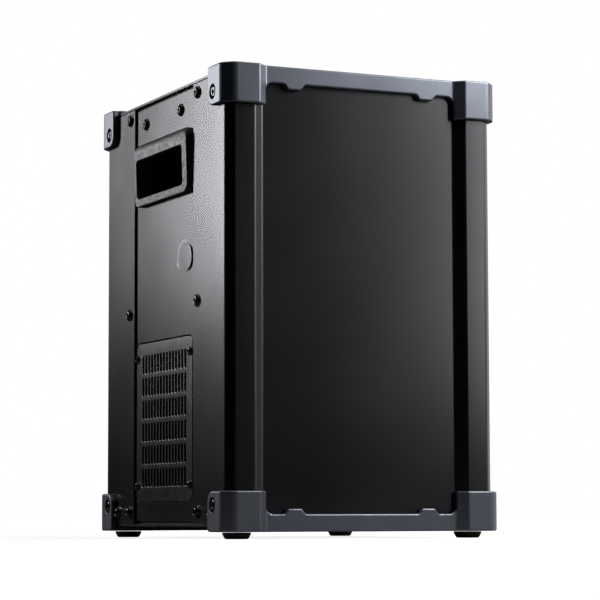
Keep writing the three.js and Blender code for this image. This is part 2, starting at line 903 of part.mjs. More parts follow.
// The tube that runs from the plug's socket up to the feed housing.
function drainTube() {
  const start = -sideInner + seat;
  const end = -feedHalf - seat;
  const low = (x) => new THREE.Vector3(x, drainY, drainZ);
  const high = (x) => new THREE.Vector3(x, feedY, feedZ - feedBore / 2);
  const path = new THREE.CurvePath();
  path.add(new THREE.LineCurve3(low(start), low(start + drainStraight)));
  path.add(
    new THREE.CubicBezierCurve3(
      low(start + drainStraight),
      low(start + 2 * drainStraight),
      high(end - drainStraight),
      high(end),
    ),
  );
  const outer = new THREE.Shape(
    circle(0, 0, drainTubeRadius, smallSides).map(([x, y]) => new THREE.Vector2(x, y)),
  );
  const hole = circle(0, 0, drainTubeRadius - drainTubeWall, smallSides);
  outer.holes.push(new THREE.Path(hole.map(([x, y]) => new THREE.Vector2(x, y))));
  const tube = new THREE.ExtrudeGeometry(outer, {
    steps: drainSteps,
    extrudePath: path,
    bevelEnabled: false,
  });
  const flange = sideways(
    circle(drainY, drainZ, drainFlangeRadius),
    start,
    start + drainFlange,
    [circle(drainY, drainZ, drainTubeRadius - drainTubeWall, smallSides)],
  );
  return join(solid(tube), flange);
}

// The nozzle in the top plate: a tube with a flange that seats under the plate.
function sparkNozzle() {
  const flangeTop = plateUnder - seat;
  const profile = [
    [tubeBore, nozzleFoot],
    [tubeRadius, nozzleFoot],
    [tubeRadius, flangeTop - nozzleFlange],
    [nozzleFlangeRadius, flangeTop - nozzleFlange],
    [nozzleFlangeRadius, flangeTop],
    [tubeRadius, flangeTop],
    [tubeRadius, nozzleTop],
    [tubeBore, nozzleTop],
    [tubeBore, nozzleFoot],
  ];
  return solid(revolve(profile, fineSides).translate(0, nozzleY, 0));
}

// The ring round the nozzle's mouth, with a slope down to the plate.
function outletRing() {
  const low = bodyTop + seat;
  const high = low + outletThickness;
  const inner = tubeRadius + seat;
  const ring = revolve([
    [inner, low],
    [outletRadius, low],
    [outletRadius, low + outletLipShare * outletThickness],
    [outletRadius - outletSlope, high],
    [inner, high],
    [inner, low],
  ], fineSides);
  return solid(ring.translate(0, nozzleY, 0));
}

// The hot tube: air comes in at its foot, granules through the window in its rear wall.
function heaterTube() {
  const tube = join(
    upright(circle(0, nozzleY, tubeRadius), tubeFoot, nozzleFoot - seat),
    upright(circle(0, nozzleY, tubeFlangeRadius), tubeFoot, tubeFoot + tubeFlange),
  );
  const bore = upright(circle(0, nozzleY, tubeBore), tubeFoot - overrun, nozzleFoot + overrun);
  const window = across(
    rectangle(-spoutHalf, spoutLow, spoutHalf, spoutHigh),
    nozzleY,
    nozzleY + tubeRadius + overrun,
  );
  return cut(tube, bore, window);
}

function heaterJacket() {
  const low = tubeFoot + tubeFlange + seat;
  return upright(circle(0, nozzleY, jacketRadius), low, deckZ - jacketGap, [
    circle(0, nozzleY, tubeRadius + seat),
  ]);
}

// The blower's spiral with its upright duct, in X and Z. Grow widens it by a wall.
function scroll(grow, top) {
  const spiral = Array.from({ length: scrollSteps + 1 }, (_, i) => {
    const share = i / scrollSteps;
    const angle = turn * THREE.MathUtils.lerp(scrollOpenShare, 1, share);
    const radius = THREE.MathUtils.lerp(scrollStart, scrollEnd, share) + grow;
    return [blowerX + radius * Math.cos(angle), blowerZ + radius * Math.sin(angle)];
  });
  const right = blowerX + scrollEnd + grow;
  const left = blowerX + scrollEnd - ductWidth - grow;
  return [...spiral, [right, top], [left, top], [left, blowerZ + ductRise + grow]];
}

// The blower's housing, open at its front.
function blowerHousing() {
  const top = tubeFoot - seat;
  const front = blowerFront + blowerWall + seat;
  const outer = across(scroll(blowerWall, top), front, blowerBack);
  const half = blowerFootWidth / 2;
  const leg = across(
    rectangle(blowerX - half, baseUpper + seat, blowerX + half, blowerZ - scrollStart),
    front,
    blowerBack,
  );
  const inner = across(scroll(0, top + overrun), front - overrun, blowerBack - blowerWall);
  const shaftHole = across(
    circle(blowerX, blowerZ, wheelShaftRadius + running, smallSides),
    blowerBack - 2 * blowerWall,
    blowerBack + overrun,
  );
  return cut(join(outer, leg), inner, shaftHole);
}

// The plate that closes the housing's front, with the hole that the air comes in by.
function blowerCover() {
  return across(scroll(blowerWall, tubeFoot - seat), blowerFront, blowerFront + blowerWall, [
    circle(blowerX, blowerZ, inletRadius),
  ]);
}

// The blower wheel about its own Y axis: a plate, a ring, blades between them and a shaft.
function blowerWheel() {
  const [front, back] = [-wheelWidth / 2, wheelWidth / 2];
  const disc = across(circle(0, 0, wheelRadius), back - wheelPlate, back);
  const ring = across(circle(0, 0, wheelRadius), front, front + wheelPlate, [
    circle(0, 0, wheelRadius - wheelRing),
  ]);
  const hub = across(circle(0, 0, wheelHubRadius, smallSides), 0, back);
  const shaftEnd = blowerThickness / 2 + seat + wheelShaftReach;
  const shaft = across(circle(0, 0, wheelShaftRadius, smallSides), 0, shaftEnd);
  const blade = geometryOf(
    across(
      rectangle(
        -wheelBladeDepth / 2,
        -wheelBladeThickness / 2,
        wheelBladeDepth / 2,
        wheelBladeThickness / 2,
      ),
      front + wheelPlate / 2,
      back - wheelPlate / 2,
    ),
  );
  const middle = wheelRadius - wheelBladeDepth / 2;
  const blades = Array.from({ length: wheelBlades }, (_, i) =>
    solid(
      blade
        .clone()
        .rotateY(wheelBladeLean)
        .translate(middle, 0, 0)
        .rotateY((turn * i) / wheelBlades),
    ),
  );
  return join(disc, ring, hub, shaft, ...blades);
}

function blowerMotor() {
  const front = blowerBack + seat;
  const hole = across(
    circle(blowerX, blowerZ, wheelShaftRadius + running, smallSides),
    front - overrun,
    front + wheelShaftReach + seat,
  );
  const can = across(
    circle(blowerX, blowerZ, blowerMotorRadius),
    front,
    front + blowerMotorLength,
  );
  return cut(can, hole);
}

// The feed housing: a bore for the rotor, an inlet collar on top, a spout down to the hot tube
// and two legs on the deck. Its right end is closed by the motor.
function feedHousing() {
  const barrel = sideways(circle(feedY, feedZ, feedBore + feedWall), -feedHalf, feedHalf);
  const collar = upright(
    rectangle(
      -inletWidth / 2 - inletCollar,
      feedY - inletDepth / 2 - inletCollar,
      inletWidth / 2 + inletCollar,
      feedY + inletDepth / 2 + inletCollar,
    ),
    feedZ,
    inletTop,
  );
  const tubeBack = nozzleY + tubeRadius;
  const spout = sideways(
    [
      [feedY, feedZ + spoutWall],
      [nozzleY, spoutHigh + spoutWall],
      [nozzleY, spoutLow - spoutWall],
      [tubeBack, spoutLow - spoutWall],
      [feedY, spoutStart - 2 * spoutWall],
    ],
    -spoutHalf - spoutWall,
    spoutHalf + spoutWall,
  );
  const legFront = feedY - feedBore;
  const legBack = feedY + feedBore;
  const legs = [-1, 1].map((side) => {
    const inner = side * feedLegGap;
    const outer = side * (feedLegGap + feedLegWidth);
    return upright(
      rectangle(Math.min(inner, outer), legFront, Math.max(inner, outer), legBack),
      deckZ + deckSheet + seat,
      feedZ - feedBore / 2,
    );
  });
  const bore = sideways(
    circle(feedY, feedZ, feedBore, fineSides),
    -feedHalf + feedEnd,
    feedHalf + overrun,
  );
  const shaftHole = sideways(
    circle(feedY, feedZ, feedShaftRadius + running, smallSides),
    -feedHalf - overrun,
    0,
  );
  const drainHole = sideways(
    circle(feedY, feedZ - feedBore / 2, feedBore / 3, smallSides),
    -feedHalf - overrun,
    0,
  );
  const inlet = upright(
    rectangle(-inletWidth / 2, feedY - inletDepth / 2, inletWidth / 2, feedY + inletDepth / 2),
    feedZ,
    inletTop + overrun,
  );
  const throat = sideways(
    [
      [feedY, feedZ],
      [nozzleY, spoutHigh],
      [nozzleY, spoutLow],
      [tubeBack, spoutLow],
      [feedY, spoutStart],
    ],
    -spoutHalf,
    spoutHalf,
  );
  const tube = upright(circle(0, nozzleY, tubeRadius + seat), deckZ, inletTop);
  return cut(
    join(barrel, collar, spout, ...legs),
    bore,
    shaftHole,
    drainHole,
    inlet,
    throat,
    tube,
  );
}

// The feed rotor about its own X axis: a star of vanes on a shaft.
function feedRotor() {
  const tip = feedBore - running;
  const pitch = turn / rotorVanes;
  const half = (pitch * rotorVaneShare) / 2;
  const star = Array.from({ length: rotorVanes }, (_, i) => {
    const middle = pitch * i;
    const at = (radius, angle) => [radius * Math.cos(angle), radius * Math.sin(angle)];
    return [
      at(rotorRoot, middle - 2 * half),
      at(tip, middle - half / 2),
      at(tip, middle + half / 2),
      at(rotorRoot, middle + 2 * half),
    ];
  }).flat();
  const left = -feedHalf + feedEnd + running;
  const vanes = sideways(star, left, feedHalf - running);
  const shaft = sideways(
    circle(0, 0, feedShaftRadius, smallSides),
    -feedHalf,
    feedHalf + seat + feedShaftReach,
  );
  return join(vanes, shaft);
}

function feedMotor() {
  const left = feedHalf + seat;
  const can = sideways(circle(feedY, feedZ, feedMotorRadius), left, left + feedMotorLength);
  const hole = sideways(
    circle(feedY, feedZ, feedShaftRadius + running, smallSides),
    left - overrun,
    left + feedShaftReach + seat,
  );
  return cut(can, hole);
}

// The hopper: a box with a funnel that narrows to the feed housing's inlet.
function hopper() {
  const level = (left, front, right, back, z, inset) => {
    const corners = rectangle(left + inset, front + inset, right - inset, back - inset);
    return corners.map(([x, y]) => new THREE.Vector3(x, y, z));
  };
  const box = [hopperLeft, hopperFront, hopperRight, hopperBack];
  const outlet = [
    -inletWidth / 2 - hopperWall,
    feedY - inletDepth / 2 - hopperWall,
    inletWidth / 2 + hopperWall,
    feedY + inletDepth / 2 + hopperWall,
  ];
  const top = plateUnder - seat;
  const low = inletTop + seat;
  const shoulder = THREE.MathUtils.lerp(low, top, hopperFunnelShare);
  const outer = loft([
    level(...outlet, low, 0),
    level(...box, shoulder, 0),
    level(...box, top, 0),
  ]);
  const inner = loft([
    level(...outlet, low - overrun, hopperWall),
    level(...outlet, low, hopperWall),
    level(...box, shoulder, hopperWall),
    level(...box, top + overrun, hopperWall),
  ]);
  const rim = upright(
    rectangle(
      hopperLeft - hopperRim,
      hopperFront - hopperRim,
      hopperRight + hopperRim,
      hopperBack + hopperRim,
    ),
    top - hopperWall,
    top,
  );
  return cut(join(outer, rim), inner);
}

// The filler neck: a flange on the top plate and a tube through it.
function fillerNeck() {
  const low = bodyTop + seat;
  const profile = [
    [neckRadius - neckWall, plateUnder - neckDrop],
    [neckRadius, plateUnder - neckDrop],
    [neckRadius, low],
    [neckFlangeRadius, low],
    [neckFlangeRadius, low + neckFlange],
    [neckRadius, low + neckFlange],
    [neckRadius, bodyTop + neckRise],
    [neckRadius - neckWall, bodyTop + neckRise],
    [neckRadius - neckWall, plateUnder - neckDrop],
  ];
  return solid(revolve(profile, fineSides).translate(fillerX, fillerY, 0));
}

const sealLow = bodyTop + neckRise + seat;
const capRoof = sealLow + sealThickness + seat;

function fillerSeal() {
  return upright(circle(fillerX, fillerY, neckRadius), sealLow, sealLow + sealThickness, [
    circle(fillerX, fillerY, neckRadius - neckWall),
  ]);
}

// The filler cap: a fluted skirt over the neck, and a grip bar between two hollows in its top.
function fillerCap() {
  const steps = capFlutes * capFluteSteps;
  const outline = Array.from({ length: steps }, (_, i) => {
    const angle = (turn * i) / steps;
    const radius = capRadius + capFlute * Math.cos(capFlutes * angle);
    return [fillerX + radius * Math.cos(angle), fillerY + radius * Math.sin(angle)];
  });
  const skirtLow = bodyTop + seat + neckFlange + seat;
  const top = capRoof + capCrown;
  const body = upright(outline, skirtLow, top);
  const inside = upright(
    circle(fillerX, fillerY, neckRadius + 2 * running, fineSides),
    skirtLow - overrun,
    capRoof,
  );
  const hollowRadius = capRadius - capFlute - capRimWidth;
  const bar = Math.asin(capBarWidth / 2 / hollowRadius);
  const hollows = [1, -1].map((side) => {
    const half = arc(fillerX, fillerY, hollowRadius, bar, 2 * quarter - bar, smallSides);
    const turned = half.map(([x, y]) => [x, fillerY + side * (y - fillerY)]);
    return upright(turned, top - capPocket, top + overrun);
  });
  return cut(body, inside, ...hollows);
}

const buttonPlaces = Array.from(
  { length: buttonCount },
  (_, i) => controlX + (i - (buttonCount - 1) / 2) * buttonPitch,
);
const buttonY =
  controlY - controlTrayDepth / 2 + controlWall + buttonMargin + buttonCollar + buttonRadius;
const screenY = controlY + screenOffsetY;
const bezelTop = bodyTop + seat + controlRise;
const boardTop = plateUnder - controlTrayDrop - seat;
const buttonFoot = boardTop + switchHeight + buttonTravel;

// The control panel: a bezel on the top plate, a tray through its cut-out and four posts that
// carry the display board.
function controlPanel() {
  const bezel = upright(
    roundedRectangle(controlX, controlY, controlWidth, controlDepth, controlCorner),
    bodyTop + seat,
    bezelTop,
  );
  const tray = upright(
    roundedRectangle(controlX, controlY, controlTrayWidth, controlTrayDepth, controlCorner),
    plateUnder - controlTrayDrop,
    bodyTop + seat + controlWall / 2,
  );
  const hollow = upright(
    roundedRectangle(
      controlX,
      controlY,
      controlTrayWidth - 2 * controlWall,
      controlTrayDepth - 2 * controlWall,
      controlCorner - controlWall,
    ),
    plateUnder - controlTrayDrop - overrun,
    bezelTop - controlWall,
  );
  const posts = [-1, 1].flatMap((sideX) =>
    [-1, 1].map((sideY) => {
      const half = boardPost / 2;
      const x = controlX + sideX * (controlTrayWidth / 2 - controlWall - half);
      const y = controlY + sideY * (controlTrayDepth / 2 - controlWall - half);
      return upright(
        rectangle(x - half, y - half, x + half, y + half),
        plateUnder - controlTrayDrop,
        bezelTop - controlWall / 2,
      );
    }),
  );
  const ledge = upright(
    roundedRectangle(controlX, screenY, screenWidth, screenDepth, screenLedge),
    bezelTop - screenThickness - seat,
    bezelTop + overrun,
  );
  const view = upright(
    rectangle(
      controlX - screenWidth / 2 + screenLedge,
      screenY - screenDepth / 2 + screenLedge,
      controlX + screenWidth / 2 - screenLedge,
      screenY + screenDepth / 2 - screenLedge,
    ),
    bodyTop - overrun,
    bezelTop + overrun,
  );
  const holes = buttonPlaces.map((x) =>
    upright(
      circle(x, buttonY, buttonRadius + running, buttonSides),
      bodyTop - overrun,
      bezelTop + overrun,
    ),
  );
  return cut(join(cut(join(bezel, tray), hollow), ...posts), ledge, view, ...holes);
}

function displayWindow() {
  return upright(
    roundedRectangle(
      controlX,
      screenY,
      screenWidth - 2 * seat,
      screenDepth - 2 * seat,
      screenLedge - seat,
    ),
    bezelTop - screenThickness,
    bezelTop,
  );
}

// A button: a cap through the bezel and a collar under it that keeps it in.
function button(x) {
  const collarTop = bezelTop - controlWall - seat;
  const edge = buttonEdgeShare * buttonRadius;
  const top = bezelTop + buttonProud;
  const profile = [
    [0, buttonFoot - buttonTravel + seat],
    [buttonRadius, buttonFoot - buttonTravel + seat],
    [buttonRadius, collarTop - buttonCollarThickness],
    [buttonRadius + buttonCollar, collarTop - buttonCollarThickness],
    [buttonRadius + buttonCollar, collarTop],
    [buttonRadius, collarTop],
    [buttonRadius, top - edge],
    [buttonRadius - edge, top],
    [0, top],
  ];
  return solid(revolve(profile, buttonSides).translate(x, buttonY, 0));
}

// The display board with its screen block and four switches.
function displayBoard() {
  const board = upright(
    rectangle(
      controlX - controlTrayWidth / 2,
      controlY - controlTrayDepth / 2,
      controlX + controlTrayWidth / 2,
      controlY + controlTrayDepth / 2,
    ),
    boardTop - boardSheet,
    boardTop,
  );
  const screen = upright(
    rectangle(
      controlX - screenWidth / 2 + screenLedge,
      screenY - screenDepth / 2 + screenLedge,
      controlX + screenWidth / 2 - screenLedge,
      screenY + screenDepth / 2 - screenLedge,
    ),
    boardTop - boardSheet / 2,
    bezelTop - controlWall - 2 * seat,
  );
  const half = switchSize / 2;
  const switches = buttonPlaces.map((x) =>
    upright(
      rectangle(x - half, buttonY - half, x + half, buttonY + half),
      boardTop - boardSheet / 2,
      boardTop + switchHeight - buttonTravel,
    ),
  );
  return join(board, screen, ...switches);
}

// A connector's square plate on the rear cover and its round shell behind it.
function connector(x, z) {
  const low = recessOuter + seat;
  return join(
    across(
      roundedRectangle(x, z, plateWidth, plateHeight, plateCorner, 2),
      low,
      low + plateThickness,
    ),
    across(circle(x, z, shellRadius), low - shellDepth, low + plateThickness / 2),
  );
}

const connectorFace = recessOuter + seat + plateThickness;

function powerSocket(x) {
  const well = across(
    circle(x, rearLowZ, powerMouth),
    connectorFace - powerWell,
    connectorFace + overrun,
  );
  const core = across(
    circle(x, rearLowZ, powerCoreRadius, smallSides),
    connectorFace - powerWell - plateThickness,
    connectorFace - powerWell + powerCoreHeight,
  );
  return join(cut(connector(x, rearLowZ), well), core);
}

const pinAngles = [quarter, quarter + turn / 3, quarter - turn / 3];
const pinPlaces = pinAngles.map((angle) => [
  pinCircle * Math.cos(angle),
  pinCircle * Math.sin(angle),
]);

function signalInlet() {
  const well = across(
    circle(signalInletX, rearHighZ, signalMouth),
    connectorFace - signalWell,
    connectorFace + overrun,
  );
  const pins = pinPlaces.map(([x, z]) =>
    across(
      circle(signalInletX + x, rearHighZ + z, pinRadius, smallSides / 2),
      connectorFace - signalWell - plateThickness,
      connectorFace - signalWell + pinLength,
    ),
  );
  return join(cut(connector(signalInletX, rearHighZ), well), ...pins);
}

function signalOutlet() {
  const well = across(
    circle(signalOutletX, rearHighZ, signalMouth),
    connectorFace - signalWell,
    connectorFace + overrun,
    [circle(signalOutletX, rearHighZ, signalCoreRadius)],
  );
  const sink = across(
    circle(signalOutletX, rearHighZ, signalMouth),
    connectorFace - signalCoreSink,
    connectorFace + overrun,
  );
  const holes = pinPlaces.map(([x, z]) =>
    across(
      circle(signalOutletX + x, rearHighZ + z, pinRadius + running, smallSides / 2),
      connectorFace - signalWell,
      connectorFace + overrun,
    ),
  );
  const latchZ = rearHighZ + latchDrop;
  const latchHole = across(
    rectangle(
      signalOutletX - latchWidth / 2 - running,
      latchZ - latchHeight / 2 - running,
      signalOutletX + latchWidth / 2 + running,
      latchZ + latchHeight / 2 + running,
    ),
    connectorFace - shellDepth,
    connectorFace + overrun,
  );
  return cut(connector(signalOutletX, rearHighZ), well, sink, latchHole, ...holes);
}

function signalLatch() {
  const latchZ = rearHighZ + latchDrop;
  return across(
    rectangle(
      signalOutletX - latchWidth / 2,
      latchZ - latchHeight / 2,
      signalOutletX + latchWidth / 2,
      latchZ + latchHeight / 2,
    ),
    connectorFace - latchDepth,
    connectorFace + latchProud,
  );
}

const rockerY = recessOuter + seat + switchFlange - rockerValley / 2;

function switchFrame() {
  const low = recessOuter + seat;
  const flange = across(
    roundedRectangle(switchX, rearLowZ, switchFlangeWidth, switchFlangeHeight, plateCorner, 2),
    low,
    low + switchFlange,
  );
  const halfWide = switchBodyWidth / 2;
  const halfHigh = switchBodyHeight / 2;
  const body = across(
    rectangle(switchX - halfWide, rearLowZ - halfHigh, switchX + halfWide, rearLowZ + halfHigh),
    low - switchBodyDepth,
    low + switchFlange / 2,
  );
  const pocketWide = rockerWidth / 2 + running;
  const pocketHigh = rockerHalf + pocketMargin;
  const pocket = across(
    rectangle(
      switchX - pocketWide,
      rearLowZ - pocketHigh,
      switchX + pocketWide,
      rearLowZ + pocketHigh,
    ),
    rockerY - rockerBack - 2 * pocketMargin,
    low + switchFlange + overrun,
  );
  return cut(join(flange, body), pocket);
}

// The rocker about its own pivot, level, with a valley in its face.
function switchRocker() {
  const profile = [
    [rockerCrest, rockerHalf],
    [rockerValley, 0],
    [rockerCrest, -rockerHalf],
    [0, -rockerHalf],
    [-rockerBack, -rockerNeck],
    [-rockerBack, rockerNeck],
    [0, rockerHalf],
  ];
  return sideways(profile, -rockerWidth / 2, rockerWidth / 2);
}

function fuseHolder() {
  const low = recessOuter + seat;
  const flange = across(circle(fuseX, rearLowZ, fuseFlangeRadius), low, low + fuseFlange);
  const body = across(
    circle(fuseX, rearLowZ, fuseBodyRadius),
    low - fuseBodyDepth,
    low + fuseFlange / 2,
  );
  const face = low + fuseFlange;
  const well = across(
    circle(fuseX, rearLowZ, fuseCapRadius + running),
    face - fuseCapLength - seat,
    face + overrun,
  );
  return cut(join(flange, body), well);
}

function fuseCap() {
  const face = recessOuter + seat + fuseFlange + fuseCapProud;
  const knob = across(
    circle(fuseX, rearLowZ, fuseCapRadius),
    face - fuseCapProud - fuseCapLength,
    face,
  );
  const half = fuseSlotWidth / 2;
  const slot = across(
    rectangle(
      fuseX - fuseCapRadius - overrun,
      rearLowZ - half,
      fuseX + fuseCapRadius + overrun,
      rearLowZ + half,
    ),
    face - fuseSlotDepth,
    face + overrun,
  );
  return cut(knob, slot);
}

// The rear cover: the front cover turned round, with holes for what is fastened to it.
function rearCover() {
  const turned = solid(geometryOf(cover()).rotateZ(turn / 2));
  const [front, back] = [recessInner - overrun, recessOuter + overrun];
  const hole = (x, z, radius) => across(circle(x, z, radius + seat), front, back);
  const switchHole = across(
    rectangle(
      switchX - switchBodyWidth / 2 - seat,
      rearLowZ - switchBodyHeight / 2 - seat,
      switchX + switchBodyWidth / 2 + seat,
      rearLowZ + switchBodyHeight / 2 + seat,
    ),
    front,
    back,
  );
  const latchHole = across(
    rectangle(
      signalOutletX - latchWidth / 2 - 2 * running,
      rearHighZ,
      signalOutletX + latchWidth / 2 + 2 * running,
      rearHighZ + latchDrop + latchHeight / 2 + 2 * running,
    ),
    front,
    back,
  );
  return cut(
    turned,
    hole(powerInletX, rearLowZ, shellRadius),
    hole(powerOutletX, rearLowZ, shellRadius),
    hole(signalInletX, rearHighZ, shellRadius),
    hole(signalOutletX, rearHighZ, shellRadius),
    hole(fuseX, rearLowZ, fuseBodyRadius),
    switchHole,
    latchHole,
  );
}

// The deck between the side panels carries the feed, and the driver hangs under it.
function equipmentDeck() {
  const half = sideInner - seat;
  const sheet = upright(
    rectangle(-half, -deckHalfDepth, half, deckHalfDepth),
    deckZ,
    deckZ + deckSheet,
    [circle(0, nozzleY, tubeRadius + 2 * running)],
  );
  const flanges = [-1, 1].map((side) => {
    const edges = [side * half, side * (half - deckSheet)].toSorted((a, b) => a - b);
    return upright(
      rectangle(edges[0], -sideHalf, edges[1], sideHalf),
      deckZ - deckFlange,
      deckZ + deckSheet / 2,
    );
  });
  return join(sheet, ...flanges);
}

function powerSupply() {
  const low = baseUpper + seat;
  const high = low + supplyHeight;
  const profile = [
    [supplyFront, low],
    [supplyBack, low],
    [supplyBack, high - 2 * supplyStep],
    [supplyBack - supplyStep, high - 2 * supplyStep],
    [supplyBack - supplyStep, high],
    [supplyFront, high],
  ];
  return sideways(profile, -supplyHalfWidth, supplyHalfWidth);
}

// The heater driver's heat sink, fins down, with the board as its flat top.
function heaterDriver() {
  const top = deckZ - seat;
  const pitch = driverWidth / (driverFins - 1 + driverFinShare);
  const thick = pitch * driverFinShare;
  const root = top - driverBase;
  const comb = Array.from({ length: driverFins }, (_, i) => {
    const left = driverLeft + pitch * i;
    return [
      [left, root],
      [left, root - driverFinHeight],
      [left + thick, root - driverFinHeight],
      [left + thick, root],
    ];
  }).flat();
  const outline = [...comb, [driverLeft + driverWidth, top], [driverLeft, top]];
  return across(outline, driverFront, driverBack);
}

// Covers, panels and plates
const topHoles = [
  circle(0, nozzleY, tubeRadius + seat, fineSides),
  circle(fillerX, fillerY, neckRadius + seat, fineSides),
  roundedRectangle(
    controlX,
    controlY,
    controlTrayWidth + 2 * seat,
    controlTrayDepth + 2 * seat,
    controlCorner,
  ),
];
const drainHole = circle(drainY, drainZ, drainNeckRadius + running);
add("front_cover", cover(), powderCoat);
add("rear_cover", rearCover(), powderCoat);
add("left_side_panel", sidePanel([drainHole]), powderCoat);
add("top_plate", plate(plateUnder, bodyTop, plateUnder - plateFlange, bodyTop, topHoles), powderCoat);
add("base_plate", plate(bodyBottom, baseUpper, bodyBottom, baseUpper + plateFlange, []), powderCoat);

// Bumpers: one casting, turned to the rear and mirrored to the base
const bumperBody = bumper();
for (const [level, mirror] of [
  ["top", 1],
  ["bottom", -1],
]) {
  for (const [end, angle] of [
    ["front", 0],
    ["rear", turn / 2],
  ]) {
    const place = new THREE.Group();
    place.scale.z = mirror;
    place.position.z = mirror < 0 ? 2 * middleZ : 0;
    place.rotation.z = angle;
    add(`${level}_${end}_bumper`, bumperBody, castPaint, place);
    machine.add(place);
  }
}

// Feet
const footBody = foot();
for (const [end, sideY] of [
  ["front", -1],
  ["rear", 1],
]) {
  for (const [side, sideX] of [
    ["left", -1],
    ["right", 1],
  ]) {
    const mesh = add(`foot_${end}_${side}`, footBody, rubber);
    mesh.position.set(sideX * (halfWidth - footInsetX), sideY * (rearPlane - footInsetY), 0);
  }
}

// What both sides have, the right side as a mirror image
const leftSide = new THREE.Group();
const rightSide = new THREE.Group();
rightSide.scale.x = -1;
machine.add(leftSide, rightSide);
add("right_side_panel", sidePanel([]), powderCoat, rightSide);
const rotorX = fanInner - fanSpider - running - fanHubDepth / 2;
for (const [side, parent] of [
  ["left", leftSide],
  ["right", rightSide],
]) {
  add(`${side}_handle_cup`, handleCup(), mouldedBlack, parent);
  add(`${side}_grille`, grille(), mouldedBlack, parent);
  add(`${side}_fan_frame`, fanFrame(), mouldedBlack, parent);
  const rotor = add(`${side}_fan_rotor`, fanRotor(), mouldedBlack, parent);
  rotor.position.set(rotorX, grilleY, grilleZ);
}
add("drain_plug", drainPlug(), powderCoat);
add("drain_tube", drainTube(), mouldedBlack);

// Spark column and blower
add("outlet_ring", outletRing(), steel);
add("spark_nozzle", sparkNozzle(), steel);
add("heater_tube", heaterTube(), steel);
add("heater_jacket", heaterJacket(), ceramic);
add("blower_housing", blowerHousing(), mouldedBlack);
add("blower_cover", blowerCover(), mouldedBlack);
const wheel = add("blower_wheel", blowerWheel(), mouldedBlack);
wheel.position.set(blowerX, nozzleY, blowerZ);
add("blower_motor", blowerMotor(), galvanised);

// Hopper, filler and feed
add("hopper", hopper(), galvanised);
add("filler_neck", fillerNeck(), aluminium);
add("filler_seal", fillerSeal(), rubber);
add("filler_cap", fillerCap(), mouldedBlack);
add("feed_housing", feedHousing(), aluminium);
const rotor = add("feed_rotor", feedRotor(), brightWhite);
rotor.position.set(0, feedY, feedZ);
add("feed_motor", feedMotor(), galvanised);

// Control panel
add("control_panel", controlPanel(), mouldedBlack);
add("display_window", displayWindow(), glassDark);
add("display_board", displayBoard(), boardGreen);
buttonPlaces.forEach((x, i) => add(`button_${i + 1}`, button(x), brightWhite));

// Rear connectors
add("power_inlet", powerSocket(powerInletX), powerBlue);
add("power_outlet", powerSocket(powerOutletX), brightWhite);
add("signal_inlet", signalInlet(), mouldedBlack);
add("signal_outlet", signalOutlet(), mouldedBlack);
add("signal_latch", signalLatch(), aluminium);
add("power_switch_frame", switchFrame(), mouldedBlack);
const rocker = add("power_switch_rocker", switchRocker(), mouldedBlack);
rocker.position.set(switchX, rockerY, rearLowZ);
rocker.rotation.x = THREE.MathUtils.degToRad(rockerTiltDegrees);
add("fuse_holder", fuseHolder(), mouldedBlack);
add("fuse_cap", fuseCap(), mouldedBlack);

// Deck, power supply and heater driver
add("equipment_deck", equipmentDeck(), galvanised);
add("power_supply", powerSupply(), galvanised);
add("heater_driver", heaterDriver(), aluminium);

export default machine;
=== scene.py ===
"""Dresses the cold spark machine: rounded castings, screws, moulded grain, print, studio and camera.

Lengths are written in millimetres and turned into metres where a mesh is made. The front faces
-Y, the machine's left side faces -X, and the floor is at Z = 0.
"""

import json
import logging
import math
from collections.abc import Callable, Iterable, Sequence
from dataclasses import dataclass, field
from enum import Enum
from functools import cache

import bmesh
import bpy
from mathutils import Matrix, Vector


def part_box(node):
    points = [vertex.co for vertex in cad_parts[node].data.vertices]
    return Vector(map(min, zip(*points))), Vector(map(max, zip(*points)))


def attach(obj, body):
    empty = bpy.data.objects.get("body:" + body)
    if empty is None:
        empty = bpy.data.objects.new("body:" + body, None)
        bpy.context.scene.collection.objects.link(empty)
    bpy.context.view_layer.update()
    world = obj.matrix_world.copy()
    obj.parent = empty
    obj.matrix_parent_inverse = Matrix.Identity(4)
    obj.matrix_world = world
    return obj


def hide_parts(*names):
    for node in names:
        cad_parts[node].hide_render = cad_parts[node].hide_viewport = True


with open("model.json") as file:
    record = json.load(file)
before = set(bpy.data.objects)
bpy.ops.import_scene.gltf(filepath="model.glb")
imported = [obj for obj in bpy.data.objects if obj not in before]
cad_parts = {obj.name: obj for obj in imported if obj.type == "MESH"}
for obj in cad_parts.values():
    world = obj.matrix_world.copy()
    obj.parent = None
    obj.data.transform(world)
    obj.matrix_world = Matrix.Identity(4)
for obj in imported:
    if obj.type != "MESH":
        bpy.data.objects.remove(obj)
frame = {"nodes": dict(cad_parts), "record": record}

LOG = logging.getLogger("spark_machine")
MM = 0.001
TURN = 2 * math.pi
MERGE = 1e-4
ALONG_X, ALONG_Y, ALONG_Z = Vector((1, 0, 0)), Vector((0, 1, 0)), Vector((0, 0, 1))

Point = tuple[float, float]
Corner = tuple[float, float, float]
Colour = tuple[float, float, float]
Vert = bmesh.types.BMVert
Edge = bmesh.types.BMEdge
Tree = bpy.types.NodeTree
Node = bpy.types.Node
Socket = bpy.types.NodeSocket
Piece = bpy.types.Object


class Slot(Enum):
    """The record's material slots."""

    SHELL = "shell"
    BUMPER = "bumper"
    RUBBER = "rubber"
    MOULDED = "moulded_black"
    STEEL = "spark_steel"
    ALUMINIUM = "cast_aluminium"
    ZINC = "zinc_sheet"
    SUPPLY = "supply_case"
    CERAMIC = "ceramic"
    BOARD = "board"
    DISPLAY = "display"
    WHITE = "white_plastic"
    BLUE = "blue_plastic"


class Side(Enum):
    """The machine's two sides, by the sign of X."""

    LEFT = -1
    RIGHT = 1


# Outlines


